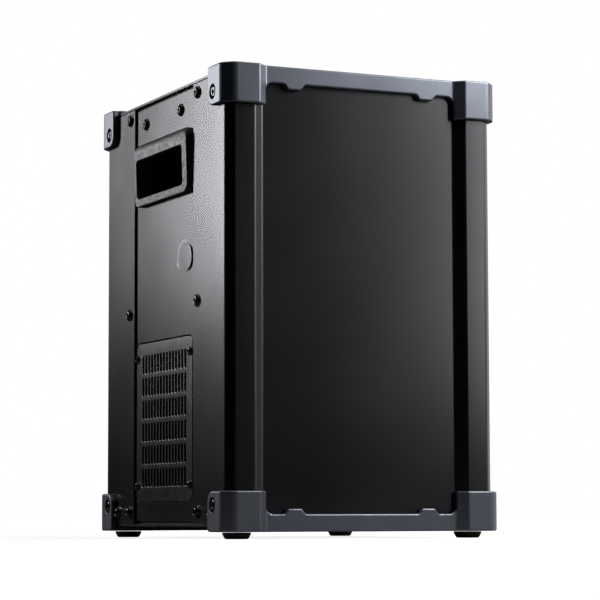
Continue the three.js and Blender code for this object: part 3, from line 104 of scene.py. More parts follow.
def rounded(corners: Sequence[Corner], steps: int, closed: bool = False) -> list[Point]:
    """Rounds the corners of a path.

    Args:
        corners: The path's corners, each with its radius, which is zero where it stays sharp.
        steps: How many straight pieces an arc has.
        closed: Whether the last corner joins the first.

    Returns:
        The path's points with an arc at each rounded corner.
    """
    path: list[Point] = []
    count = len(corners)
    for i, (*corner, radius) in enumerate(corners):
        open_end = not closed and i in (0, count - 1)
        if radius <= 0 or open_end:
            path.append(tuple(corner))
            continue
        here = Vector(corner)
        before = (Vector(corners[i - 1][:2]) - here).normalized()
        after = (Vector(corners[(i + 1) % count][:2]) - here).normalized()
        half = before.angle(after) / 2
        middle = here + (before + after).normalized() * (radius / math.sin(half))
        start = here + before * (radius / math.tan(half)) - middle
        swing = start.angle_signed(here + after * (radius / math.tan(half)) - middle)
        for step in range(steps + 1):
            spoke = start.copy()
            spoke.rotate(Matrix.Rotation(-swing * step / steps, 2))
            path.append(tuple(middle + spoke))
    return path


def rounded_rectangle(
    middle: Point, width: float, height: float, radius: float, steps: int = 8
) -> list[Point]:
    """The outline of a rectangle about a middle, with round corners.

    Args:
        middle: Where its middle is.
        width: Its size along the first axis.
        height: Its size along the second axis.
        radius: The corners' radius.
        steps: How many straight pieces a corner has.

    Returns:
        The outline's points.
    """
    corners = [
        (middle[0] + u * width / 2, middle[1] + v * height / 2, radius)
        for u, v in ((1, 1), (-1, 1), (-1, -1), (1, -1))
    ]
    return rounded(corners, steps, True)


def offset_path(points: Sequence[Point], distance: float) -> list[Point]:
    """An open path moved to its right by a distance, with sharp corners.

    Args:
        points: The path's corners.
        distance: How far it is moved.

    Returns:
        The moved path's corners.
    """
    ahead = [
        Vector((end[1] - start[1], start[0] - end[0])).normalized() for start, end in zip(points, points[1:])
    ]
    moved = []
    for i, corner in enumerate(points):
        before, after = ahead[max(i - 1, 0)], ahead[min(i, len(ahead) - 1)]
        moved.append(tuple(Vector(corner) + (before + after) * (distance / (1 + before.dot(after)))))
    return moved


# Meshes


def linked(name: str, data: bpy.types.ID) -> Piece:
    """Puts a mesh, a lamp or a camera into the scene as an object.

    Args:
        name: The object's name.
        data: The mesh, lamp or camera.

    Returns:
        The object.
    """
    piece = bpy.data.objects.new(name, data)
    bpy.context.scene.collection.objects.link(piece)
    return piece


class Form:
    """A mesh in the making, in millimetres."""

    def __init__(self) -> None:
        """Starts with nothing in it."""
        self.bm = bmesh.new()

    @classmethod
    def taken(cls, mesh: bpy.types.Mesh) -> "Form":
        """A form with the faces of a mesh that is in metres.

        Args:
            mesh: The mesh.

        Returns:
            The form in millimetres.
        """
        form = cls()
        form.bm.from_mesh(mesh)
        bmesh.ops.scale(form.bm, vec=Vector((1 / MM,) * 3), verts=form.bm.verts)
        return form

    def loop(self, points: Iterable[Vector]) -> list[Vert]:
        """Adds the points as loose vertices."""
        return [self.bm.verts.new(point) for point in points]

    def ring(self, verts: Sequence[Vert]) -> list[Edge]:
        """Joins vertices into a closed loop of edges."""
        return [self.bm.edges.new((verts[i - 1], verts[i])) for i in range(len(verts))]

    def prism(self, points: Iterable[Vector], push: Vector) -> None:
        """Extrudes a flat face through the points along a vector."""
        self.thicken([self.bm.faces.new(self.loop(points))], push)

    def thicken(self, faces: Sequence[bmesh.types.BMFace], push: Vector) -> None:
        """Extrudes faces along a vector."""
        moved = bmesh.ops.extrude_face_region(self.bm, geom=faces)["geom"]
        bmesh.ops.translate(self.bm, vec=push, verts=[item for item in moved if isinstance(item, Vert)])

    def upright(self, outline: Sequence[Point], low: float, high: float) -> None:
        """Extrudes an outline in X and Y from one height to another."""
        self.prism([Vector((x, y, low)) for x, y in outline], ALONG_Z * (high - low))

    def sideways(self, outline: Sequence[Point], left: float, right: float) -> None:
        """Extrudes an outline in Y and Z along X."""
        self.prism([Vector((left, y, z)) for y, z in outline], ALONG_X * (right - left))

    def across(self, outline: Sequence[Point], front: float, back: float) -> None:
        """Extrudes an outline in X and Z along Y."""
        self.prism([Vector((x, front, z)) for x, z in outline], ALONG_Y * (back - front))

    def turned(self, profile: Sequence[Point], centre: Vector, axis: Vector, steps: int = 72) -> None:
        """Spins a profile into a round shape.

        Args:
            profile: Points as a radius and a distance along the axis.
            centre: Where the axis starts.
            axis: The axis's direction.
            steps: How many facets go round.
        """
        out = axis.orthogonal().normalized()
        verts = self.loop(centre + out * radius + axis * along for radius, along in profile)
        edges = [self.bm.edges.new(pair) for pair in zip(verts, verts[1:])]
        bmesh.ops.spin(
            self.bm, geom=[*verts, *edges], cent=centre, axis=axis, angle=TURN, steps=steps, use_merge=True
        )
        bmesh.ops.remove_doubles(self.bm, verts=self.bm.verts, dist=MERGE)

    def ring_loops(self, loops: Sequence[Sequence[Vector]]) -> None:
        """Extrudes a closed loop of points into the next one, and closes both ends.

        Args:
            loops: Loops with as many points each, in order.
        """
        verts = self.loop(loops[0])
        edges = self.ring(verts)
        bmesh.ops.contextual_create(self.bm, geom=edges)
        for loop in loops[1:]:
            made = set(bmesh.ops.extrude_edge_only(self.bm, edges=edges)["geom"])
            verts = [
                next(edge.other_vert(vert) for edge in vert.link_edges if edge.other_vert(vert) in made)
                for vert in verts
            ]
            for vert, point in zip(verts, loop):
                vert.co = point
            edges = [self.bm.edges.get((verts[i - 1], verts[i])) for i in range(len(verts))]
        bmesh.ops.contextual_create(self.bm, geom=edges)

    def slice(self, axis: Vector, place: float) -> None:
        """Cuts every face where a plane across the axis meets it."""
        geom = [*self.bm.verts, *self.bm.edges, *self.bm.faces]
        bmesh.ops.bisect_plane(self.bm, geom=geom, dist=1e-5, plane_co=axis * place, plane_no=axis)

    def bevel(self, edges: Iterable[Edge], width: float, segments: int) -> None:
        """Rounds edges by a width.

        Args:
            edges: The edges.
            width: How far the rounding reaches from each edge.
            segments: How many faces a rounding has.
        """
        bmesh.ops.bevel(
            self.bm, geom=list(edges), offset=width, offset_type="OFFSET", segments=segments,
            profile=0.5, affect="EDGES", material=-1, clamp_overlap=True,
        )

    def sharp_edges(self, least: float = 40) -> list[Edge]:
        """The edges whose two faces meet at more than an angle in degrees."""
        limit = math.radians(least)
        return [edge for edge in self.bm.edges if edge.is_manifold and edge.calc_face_angle(0) > limit]

    def close(self) -> "Form":
        """Merges doubled points, turns the faces outwards and gives the form back.

        Returns:
            The same form.
        """
        bmesh.ops.remove_doubles(self.bm, verts=self.bm.verts, dist=MERGE)
        bmesh.ops.recalc_face_normals(self.bm, faces=self.bm.faces)
        return self

    def absorb(self, other: "Form") -> None:
        """Takes in another form's faces and frees that form.

        Args:
            other: The form that is taken in.
        """
        mesh = bpy.data.meshes.new("passed_on")
        other.bm.to_mesh(mesh)
        other.bm.free()
        self.bm.from_mesh(mesh)
        bpy.data.meshes.remove(mesh)

    def moved(self, matrix: Matrix) -> "Form":
        """A copy that is moved, turned or mirrored by a matrix, with its faces outwards.

        Args:
            matrix: How it is moved, turned or mirrored.

        Returns:
            The moved copy.
        """
        copy = Form()
        copy.bm = self.bm.copy()
        bmesh.ops.transform(copy.bm, matrix=matrix, verts=copy.bm.verts)
        if matrix.determinant() < 0:
            bmesh.ops.reverse_faces(copy.bm, faces=copy.bm.faces)
        return copy

    def piece(self, name: str) -> Piece:
        """Turns the mesh into an object in metres and frees the workings.

        Args:
            name: The object's name.

        Returns:
            The object.
        """
        bmesh.ops.scale(self.bm, vec=Vector((MM, MM, MM)), verts=self.bm.verts)
        mesh = bpy.data.meshes.new(name)
        self.bm.to_mesh(mesh)
        self.bm.free()
        mesh.set_sharp_from_angle(angle=math.radians(50))
        return linked(name, mesh)


# Finishes


def feed(tree: Tree, node: Node, inputs: dict[str | int, object]) -> None:
    """Links each of a node's inputs to the socket that it is given, or sets its value.

    Args:
        tree: The tree that holds the node.
        node: The node.
        inputs: What each input gets, by name or number: a socket or a value.
    """
    for label, value in inputs.items():
        if isinstance(value, Socket):
            tree.links.new(value, node.inputs[label])
        else:
            node.inputs[label].default_value = value


def new_material(name: str) -> tuple[bpy.types.Material, Tree, Node]:
    """Starts a material, and gives it with its tree and its shader.

    Args:
        name: The material's name.

    Returns:
        The material, its tree and its shader.
    """
    material = bpy.data.materials.new(name)
    material.use_nodes = True
    return material, material.node_tree, material.node_tree.nodes["Principled BSDF"]


def shader_node(
    tree: Tree, kind: str, inputs: dict[str | int, object] | None = None, **settings: object
) -> Node:
    """Adds a shader node.

    Args:
        tree: The tree that takes it.
        kind: Its type, without the words that all types start with.
        inputs: What each input gets, by name or number: a socket or a value.
        settings: The node's other properties.

    Returns:
        The node.
    """
    node = tree.nodes.new(f"ShaderNode{kind}")
    for label, value in settings.items():
        setattr(node, label, value)
    feed(tree, node, inputs or {})
    return node


def coordinates(tree: Tree, kind: str = "Object") -> Socket:
    """A point's coordinates or normal on its own piece."""
    return shader_node(tree, "TexCoord").outputs[kind]


def maths(tree: Tree, operation: str, first: object, second: object) -> Socket:
    """The result of a Math node on two sockets or numbers."""
    return shader_node(tree, "Math", {0: first, 1: second}, operation=operation).outputs[0]


def noise(tree: Tree, scale: object, detail: float, vector: Socket | None = None) -> Socket:
    """Noise on Object coordinates or on a given vector."""
    place = coordinates(tree) if vector is None else vector
    return shader_node(tree, "TexNoise", {"Vector": place, "Scale": scale, "Detail": detail}).outputs["Fac"]


def mapped(tree: Tree, value: Socket, given: Point, wanted: Point = (0.0, 1.0)) -> Socket:
    """A value carried from the range that is given to the range that is wanted."""
    ranges = {"From Min": given[0], "From Max": given[1], "To Min": wanted[0], "To Max": wanted[1]}
    return shader_node(tree, "MapRange", {"Value": value, **ranges}).outputs["Result"]


def mixed(tree: Tree, share: object, first: object, second: object, blend: str = "MIX") -> Socket:
    """Two colours mixed by a share."""
    inputs = {"Factor": share, 6: first, 7: second}
    return shader_node(tree, "Mix", inputs, data_type="RGBA", blend_type=blend).outputs[2]


def placed(tree: Tree, effect: Tree, **values: object) -> Node:
    """Adds a shared effect with its own values. A socket's name has _ for a space."""
    inputs = {label.replace("_", " ").capitalize(): value for label, value in values.items()}
    return shader_node(tree, "Group", inputs, node_tree=effect)


class Effect:
    """Shader node groups that more than one finish uses, each built once."""

    @staticmethod
    def group(name: str, inputs: dict[str, object]) -> tuple[Tree, dict[str, Socket]]:
        """Starts a group.

        Args:
            name: The group's name.
            inputs: Socket names with their first value, which also says the kind.

        Returns:
            The tree, and its inputs as sockets to link from.
        """
        tree = bpy.data.node_groups.new(name, "ShaderNodeTree")
        for label, value in inputs.items():
            kind = {4: "Color", 3: "Vector"}[len(value)] if isinstance(value, tuple) else "Float"
            socket = tree.interface.new_socket(label, in_out="INPUT", socket_type=f"NodeSocket{kind}")
            socket.default_value = value
        return tree, tree.nodes.new("NodeGroupInput").outputs

    @staticmethod
    def give(tree: Tree, results: dict[str, Socket]) -> Tree:
        """Ends a group by putting its results out.

        Args:
            tree: The group's tree.
            results: The socket that each result comes from, by name.

        Returns:
            The same tree.
        """
        for label in results:
            kind = "Color" if label == "Color" else "Float"
            tree.interface.new_socket(label, in_out="OUTPUT", socket_type=f"NodeSocket{kind}")
        out = tree.nodes.new("NodeGroupOutput")
        for label, result in results.items():
            tree.links.new(result, out.inputs[label])
        return tree

    @staticmethod
    @cache
    def grain() -> Tree:
        """Rounded grains of a given size on a moulded or coated face.

        Returns:
            The group's tree.
        """
        tree, given = Effect.group("Fine grain", {"Grain": 0.4, "Wave": 2.0, "Wave share": 0.3})
        fine = noise(tree, maths(tree, "DIVIDE", 1 / MM, given["Grain"]), 2)
        wave = noise(tree, maths(tree, "DIVIDE", 1 / MM, given["Wave"]), 1)
        spread = maths(tree, "MULTIPLY", wave, given["Wave share"])
        return Effect.give(tree, {"Height": maths(tree, "ADD", fine, spread)})

    @staticmethod
    @cache
    def drift() -> Tree:
        """A slow change between two colours and two values over a face.

        Returns:
            The group's tree.
        """
        black = (0, 0, 0, 1)
        tree, given = Effect.group(
            "Slow drift", {"Patch": 30.0, "First": black, "Second": black, "Low": 0.3, "High": 0.4}
        )
        cloud = noise(tree, maths(tree, "DIVIDE", 1 / MM, given["Patch"]), 4)
        share = mapped(tree, cloud, (0.3, 0.7))
        level = shader_node(tree, "Mix", {"Factor": share, 2: given["Low"], 3: given["High"]})
        colour = mixed(tree, share, given["First"], given["Second"])
        return Effect.give(tree, {"Color": colour, "Value": level.outputs[0]})

    @staticmethod
    @cache
    def dust() -> Tree:
        """A thin uneven dust on faces that look up.

        Returns:
            The group's tree.
        """
        tree, given = Effect.group("Settled dust", {"Base": (0, 0, 0, 1), "Amount": 0.1})
        normal = shader_node(tree, "SeparateXYZ", {0: coordinates(tree, "Normal")})
        up = maths(tree, "POWER", maths(tree, "MAXIMUM", normal.outputs["Z"], 0.0), 3.0)
        patchy = maths(tree, "MULTIPLY", maths(tree, "MULTIPLY", up, noise(tree, 90.0, 5)), given["Amount"])
        return Effect.give(tree, {"Color": mixed(tree, patchy, given["Base"], (0.2, 0.19, 0.17, 1))})

    @staticmethod
    @cache
    def lines() -> Tree:
        """Fine brushed or rolled lines along one axis of the vector."""
        tree, given = Effect.group("Brushed lines", {"Vector": (0, 0, 0), "Fineness": 3000.0})
        return Effect.give(tree, {"Height": noise(tree, given["Fineness"], 3, given["Vector"])})

    @staticmethod
    @cache
    def rings() -> Tree:
        """The rings that a lathe tool leaves round the vector's Z axis.

        Returns:
            The group's tree.
        """
        tree, given = Effect.group("Lathe rings", {"Vector": (0, 0, 0), "Pitch": 0.5})
        scale = maths(tree, "DIVIDE", 1 / MM / TURN, given["Pitch"])
        inputs = {"Vector": given["Vector"], "Scale": scale, "Distortion": 0.4, "Detail": 2}
        wave = shader_node(tree, "TexWave", inputs, wave_type="RINGS", rings_direction="Z")
        return Effect.give(tree, {"Height": wave.outputs["Fac"]})


@dataclass(frozen=True)
class Finish:
    """A finish whose colour and gloss drift slowly and whose face has a fine grain.

    Patch, grain, wave and relief are in millimetres.
    """

    name: str
    slot: Slot
    colour: Colour
    second: Colour
    rough: Point = (0.4, 0.5)
    metallic: float = 0.0
    specular: float = 0.5
    coat: float = 0.0
    coat_rough: float = 0.1
    patch: float = 40.0
    grain: float = 0.4
    wave: float = 2.0
    wave_share: float = 0.3
    relief: float = 0.02
    dust: float = 0.0

    def material(self) -> bpy.types.Material:
        """The finish as a material, made on first use.

        Returns:
            The material.
        """
        found = bpy.data.materials.get(self.name)
        if found:
            return found
        material, tree, shader = new_material(self.name)
        self.dress(tree, shader)
        return material

    def dress(self, tree: Tree, shader: Node) -> None:
        """Joins the colour, gloss and relief to the shader.

        Args:
            tree: The material's tree.
            shader: The material's shader.
        """
        drift = placed(
            tree, Effect.drift(), patch=self.patch, first=(*self.colour, 1), second=(*self.second, 1),
            low=self.rough[0], high=self.rough[1],
        )
        colour = drift.outputs["Color"]
        if self.dust:
            colour = placed(tree, Effect.dust(), base=colour, amount=self.dust).outputs["Color"]
        relief = {"Strength": 1.0, "Distance": self.relief * MM, "Height": self.height(tree)}
        feed(tree, shader, {
            "Base Color": colour,
            "Roughness": drift.outputs["Value"],
            "Metallic": self.metallic,
            "Specular IOR Level": self.specular,
            "Coat Weight": self.coat,
            "Coat Roughness": self.coat_rough,
            "Normal": shader_node(tree, "Bump", relief).outputs["Normal"],
        })

    def height(self, tree: Tree) -> Socket:
        """The height that the relief follows."""
        grain = placed(tree, Effect.grain(), grain=self.grain, wave=self.wave, wave_share=self.wave_share)
        return grain.outputs["Height"]


@dataclass(frozen=True)
class Flaked(Finish):
    """A metallic coat with fine flakes that differ in gloss."""

    flake: float = 0.25
    flake_spread: float = 0.08

    def dress(self, tree: Tree, shader: Node) -> None:
        """Adds the flakes to the metal share of the coat.

        Args:
            tree: The material's tree.
            shader: The material's shader.
        """
        super().dress(tree, shader)
        flakes = noise(tree, 1 / (self.flake * MM), 1)
        wanted = (self.metallic - self.flake_spread, self.metallic + self.flake_spread)
        feed(tree, shader, {"Metallic": mapped(tree, flakes, (0.35, 0.65), wanted)})


@dataclass(frozen=True)
class Brushed(Finish):
    """Sheet metal with fine lines along X."""

    stretch: tuple[float, float, float] = (0.03, 1.0, 1.0)

    def height(self, tree: Tree) -> Socket:
        """The height of the lines.

        Args:
            tree: The material's tree.

        Returns:
            The socket that gives it.
        """
        place = shader_node(tree, "Mapping", {"Vector": coordinates(tree), "Scale": self.stretch})
        fineness = 1 / (self.grain * MM)
        lines = placed(tree, Effect.lines(), vector=place.outputs["Vector"], fineness=fineness)
        return lines.outputs["Height"]


@dataclass(frozen=True)
class Turned(Finish):
    """Lathe-turned metal about an upright axis, with heat tint near the top."""

    axis: Point = (0.0, 0.0)
    tint_low: float = 0.0
    tint_high: float = 0.0
    tint_waver: float = 6.0

    def height(self, tree: Tree) -> Socket:
        """The height of the lathe's rings.

        Args:
            tree: The material's tree.

        Returns:
            The socket that gives it.
        """
        shift = (-self.axis[0] * MM, -self.axis[1] * MM, 0)
        place = shader_node(tree, "Mapping", {"Vector": coordinates(tree), "Location": shift})
        rings = placed(tree, Effect.rings(), vector=place.outputs["Vector"], pitch=self.grain)
        return rings.outputs["Height"]

    def dress(self, tree: Tree, shader: Node) -> None:
        """Adds straw and blue heat tint over the drifted colour.

        Args:
            tree: The material's tree.
            shader: The material's shader.
        """
        super().dress(tree, shader)
        if self.tint_high <= self.tint_low:
            return
        height = shader_node(tree, "SeparateXYZ", {0: coordinates(tree)}).outputs["Z"]
        cloud = maths(tree, "MULTIPLY", noise(tree, 60.0, 3), self.tint_waver * MM)
        warmth = mapped(tree, maths(tree, "ADD", height, cloud), (self.tint_low * MM, self.tint_high * MM))
        ramp = shader_node(tree, "ValToRGB", {"Fac": warmth})
        stops = ramp.color_ramp.elements
        stops[0].position, stops[0].color = 0.0, (1, 1, 1, 1)
        stops[1].position, stops[1].color = 1.0, (0.28, 0.26, 0.3, 1)
        for place, colour in ((0.45, (0.95, 0.82, 0.55, 1)), (0.7, (0.55, 0.42, 0.5, 1))):
            stops.new(place).color = colour
        colour = shader.inputs["Base Color"].links[0].from_socket
        feed(tree, shader, {"Base Color": mixed(tree, 1.0, colour, ramp.outputs["Color"], "MULTIPLY")})


POWDER_COAT = Finish(
    "powder_coat", Slot.SHELL, (0.0017, 0.0016, 0.0027), (0.0026, 0.0025, 0.0038),
    rough=(0.22, 0.242), grain=0.45, wave=1.8, wave_share=0.5, relief=0.0004, patch=60, dust=0.03,
)
CAST_COAT = Flaked(
    "cast_metallic_coat", Slot.BUMPER, (0.072, 0.079, 0.092), (0.082, 0.09, 0.105),
    rough=(0.36, 0.4), metallic=0.72, grain=0.5, wave=2.4, wave_share=0.8, relief=0.014, patch=25,
    dust=0.04,
)
MOULDED = Finish(
    "grained_moulding", Slot.MOULDED, (0.009, 0.009, 0.01), (0.014, 0.014, 0.016),
    rough=(0.4, 0.6), grain=2.0, wave=4.5, wave_share=0.4, relief=0.3, patch=2.4, dust=0.04,
)
SATIN_MOULDED = Finish(
    "satin_moulding", Slot.MOULDED, (0.007, 0.007, 0.008), (0.011, 0.011, 0.013),
    rough=(0.25, 0.28), grain=0.6, wave=2.0, wave_share=0.5, relief=0.0015, patch=12, dust=0.02,
)
SMOOTH_MOULDED = Finish(
    "smooth_moulding", Slot.MOULDED, (0.012, 0.012, 0.013), (0.018, 0.018, 0.019),
    rough=(0.3, 0.38), grain=0.5, wave=3.0, wave_share=0.6, relief=0.008, patch=20, dust=0.04,
)
RUBBER = Finish(
    "moulded_rubber", Slot.RUBBER, (0.011, 0.011, 0.011), (0.02, 0.02, 0.019),
    rough=(0.62, 0.78), specular=0.35, grain=0.3, wave=1.2, relief=0.02, patch=10, dust=0.1,
)
SCREW_BLACK = Finish(
    "blackened_screw", Slot.SHELL, (0.006, 0.006, 0.007), (0.01, 0.01, 0.011),
    rough=(0.12, 0.16), grain=0.3, wave=1.0, relief=0.002, patch=6,
)
SPARK_STEEL = Turned(
    "turned_steel", Slot.STEEL, (0.5, 0.48, 0.45), (0.58, 0.56, 0.53),
    rough=(0.24, 0.34), metallic=1.0, grain=0.45, relief=0.006, patch=18,
    axis=(0.0, -58.0), tint_low=296.0, tint_high=306.0,
)
HOT_STEEL = Finish(
    "scaled_steel", Slot.STEEL, (0.2, 0.17, 0.15), (0.32, 0.29, 0.28),
    rough=(0.4, 0.55), metallic=0.9, grain=0.5, relief=0.02, patch=14,
)
ALUMINIUM = Finish(
    "cast_aluminium", Slot.ALUMINIUM, (0.5, 0.51, 0.53), (0.58, 0.59, 0.6),
    rough=(0.3, 0.42), metallic=1.0, grain=0.5, relief=0.012, patch=20, dust=0.05,
)
NECK_ALUMINIUM = Turned(
    "turned_aluminium", Slot.ALUMINIUM, (0.55, 0.56, 0.58), (0.62, 0.63, 0.65),
    rough=(0.22, 0.3), metallic=1.0, grain=0.4, relief=0.005, patch=18, axis=(-45.0, 36.0),
)
ZINC = Brushed(
    "zinc_plated_sheet", Slot.ZINC, (0.42, 0.44, 0.46), (0.52, 0.54, 0.55),
    rough=(0.32, 0.45), metallic=1.0, grain=0.35, relief=0.004, patch=22, dust=0.08,
)
SUPPLY_CASE = Brushed(
    "plain_aluminium_case", Slot.SUPPLY, (0.48, 0.49, 0.5), (0.56, 0.57, 0.58),
    rough=(0.34, 0.44), metallic=1.0, grain=0.3, relief=0.003, patch=30, dust=0.08,
)
CERAMIC = Finish(
    "fibre_sleeve", Slot.CERAMIC, (0.6, 0.56, 0.48), (0.72, 0.68, 0.6),
    rough=(0.85, 0.95), specular=0.2, grain=0.9, wave=3.0, wave_share=0.8, relief=0.2, patch=12,
)
LAMINATE = Finish(
    "green_laminate", Slot.BOARD, (0.012, 0.1, 0.045), (0.02, 0.14, 0.06),
    rough=(0.3, 0.4), grain=0.8, wave=2.0, relief=0.01, patch=15,
)
WHITE_PLASTIC = Finish(
    "satin_white_plastic", Slot.WHITE, (0.68, 0.68, 0.66), (0.74, 0.74, 0.72),
    rough=(0.34, 0.42), grain=0.4, wave=1.6, relief=0.008, patch=12,
)
BLUE_PLASTIC = Finish(
    "satin_blue_plastic", Slot.BLUE, (0.018, 0.08, 0.3), (0.025, 0.1, 0.36),
    rough=(0.34, 0.42), grain=0.4, wave=1.6, relief=0.01, patch=12, dust=0.05,
)
WHITE_PRINT = Finish(
    "white_print", Slot.WHITE, (0.84, 0.84, 0.84), (0.88, 0.88, 0.88),
    rough=(0.22, 0.26), grain=0.3, wave=1.0, relief=0.001, patch=8,
)
BLACK_PRINT = Finish(
    "black_print", Slot.MOULDED, (0.02, 0.02, 0.02), (0.03, 0.03, 0.03),
    rough=(0.45, 0.55), grain=0.3, wave=1.0, relief=0.004, patch=8,
)
DISPLAY = Finish(
    "dark_window", Slot.DISPLAY, (0.006, 0.009, 0.014), (0.009, 0.013, 0.02),
    rough=(0.05, 0.09), coat=0.5, coat_rough=0.04, grain=2.0, wave=8.0, relief=0.001, patch=20,
)


def dressed(piece: Piece, finish: Finish, body: str, *replaced: str) -> Piece:
    """Gives a piece its finish, its body and the nodes that it stands for.

    Args:
        piece: A finished object.
        finish: What it is made of.
        body: The body that carries it.
        replaced: The nodes that it stands for.

    Returns:
        The same object.
    """
    piece.data.materials.clear()
    piece.data.materials.append(finish.material())
    piece.data.shade_smooth()
    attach(piece, body)
    if replaced:
        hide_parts(*replaced)
    LOG.info("%s: %d faces, %s, rides on %s", piece.name, len(piece.data.polygons), finish.name, body)
    return piece


def finish_node(node: str, finish: Finish) -> None:
    """Gives a node's own object a finish.

    Args:
        node: The node.
        finish: What it is made of.
    """
    for slot in frame["nodes"][node].material_slots:
        slot.link = "OBJECT"
        slot.material = finish.material()
    LOG.info("%s: %s", node, finish.name)


def even_shading(piece: Piece) -> Piece:
    """Lets the large flat faces rule the shading of the small round ones beside them.

    Args:
        piece: The piece that gets the even shading.

    Returns:
        The same piece.
    """
    modifier = piece.modifiers.new("even shading", "WEIGHTED_NORMAL")
    modifier.keep_sharp = True
    modifier.weight = 60
    return piece


def rounded_copy(
    node: str, finish: Finish, width: float, segments: int = 2, weigh: Callable[[Edge], float] | None = None
) -> None:
    """Makes a node's shape with rounded edges, in its own finish.

    Args:
        node: The node that it stands for.
        finish: What it is made of.
        width: The widest rounding in millimetres.
        segments: How many faces a rounding has.
        weigh: Gives each sharp edge its share of that width. All of it if left out.
    """
    form = Form.taken(frame["nodes"][node].data)
    bmesh.ops.remove_doubles(form.bm, verts=form.bm.verts, dist=10 * MERGE)
    flat = math.radians(0.8)
    bmesh.ops.dissolve_limit(form.bm, angle_limit=flat, verts=form.bm.verts, edges=form.bm.edges)
    layer = form.bm.edges.layers.float.new("bevel_weight_edge")
    for edge in form.sharp_edges(30):
        edge[layer] = weigh(edge) if weigh else 1.0
    piece = form.piece(f"{node}_rounded")
    bevel = piece.modifiers.new("rounded edges", "BEVEL")
    bevel.limit_method = "WEIGHT"
    bevel.width = width * MM
    bevel.segments = segments
    bevel.profile = 0.5
    bevel.miter_outer = "MITER_ARC"
    bodies = frame["record"]["behaviour"]["bodies"]
    body = next(name for name, nodes in bodies.items() if node in nodes)
    dressed(even_shading(piece), finish, body, node)


def spun(
    name: str, finish: Finish, body: str, node: str, centre: Vector, corners: Sequence[Corner],
    sides: int = 72, steps: int = 4,
) -> None:
    """Makes a piece that is round about an upright axis.

    Args:
        name: The piece's name.
        finish: What it is made of.
        body: The body that carries it.
        node: The node that it stands for.
        centre: Where the axis meets the floor.
        corners: The profile's radii and heights, each with its rounding.
        sides: How many facets go round.
        steps: How many straight pieces a rounding has.
    """
    form = Form()
    form.turned(rounded(corners, steps), centre, ALONG_Z, sides)
    dressed(form.close().piece(name), finish, body, node)


def both_sides(form: Form, kind: str, finish: Finish, node: str) -> None:
    """Makes a left piece and its mirror image on the right, and frees the form.

    Args:
        form: The left piece's shape.
        kind: The pieces' name after the side.
        finish: What they are made of.
        node: The name, after the side, of the node that each stands for.
    """
    for side, matrix in (("left", Matrix.Identity(4)), ("right", Matrix.Scale(-1, 4, ALONG_X))):
        piece = even_shading(form.moved(matrix).piece(f"{side}_{kind}"))
        dressed(piece, finish, "root", f"{side}_{node}")
    form.bm.free()


# The object


@dataclass
class Casing:
    """Bent covers, side panels and plates."""

    bend: float = 1.1
    rim: float = 0.3
    steepest_bend: float = 70.0

    def upright_bend(self, edge: Edge) -> float:
        """All of the width for an upright bend of a cover, and the rim's share for the rest.

        Args:
            edge: A sharp edge of a cover or plate.

        Returns:
            Its share of the bend's width.
        """
        run = edge.verts[1].co - edge.verts[0].co
        gentle = edge.calc_face_angle(0) < math.radians(self.steepest_bend)
        bent = gentle and abs(run.z) > 0.99 * run.length
        return 1.0 if bent else self.rim / self.bend

    def build(self) -> None:
        """Makes the six sheets."""
        for node in ("front_cover", "rear_cover"):
            rounded_copy(node, POWDER_COAT, self.bend, 3, self.upright_bend)
        for node in ("left_side_panel", "right_side_panel"):
            rounded_copy(node, POWDER_COAT, self.rim)
        for node in ("top_plate", "base_plate"):
            rounded_copy(node, POWDER_COAT, self.bend, 3, self.upright_bend)


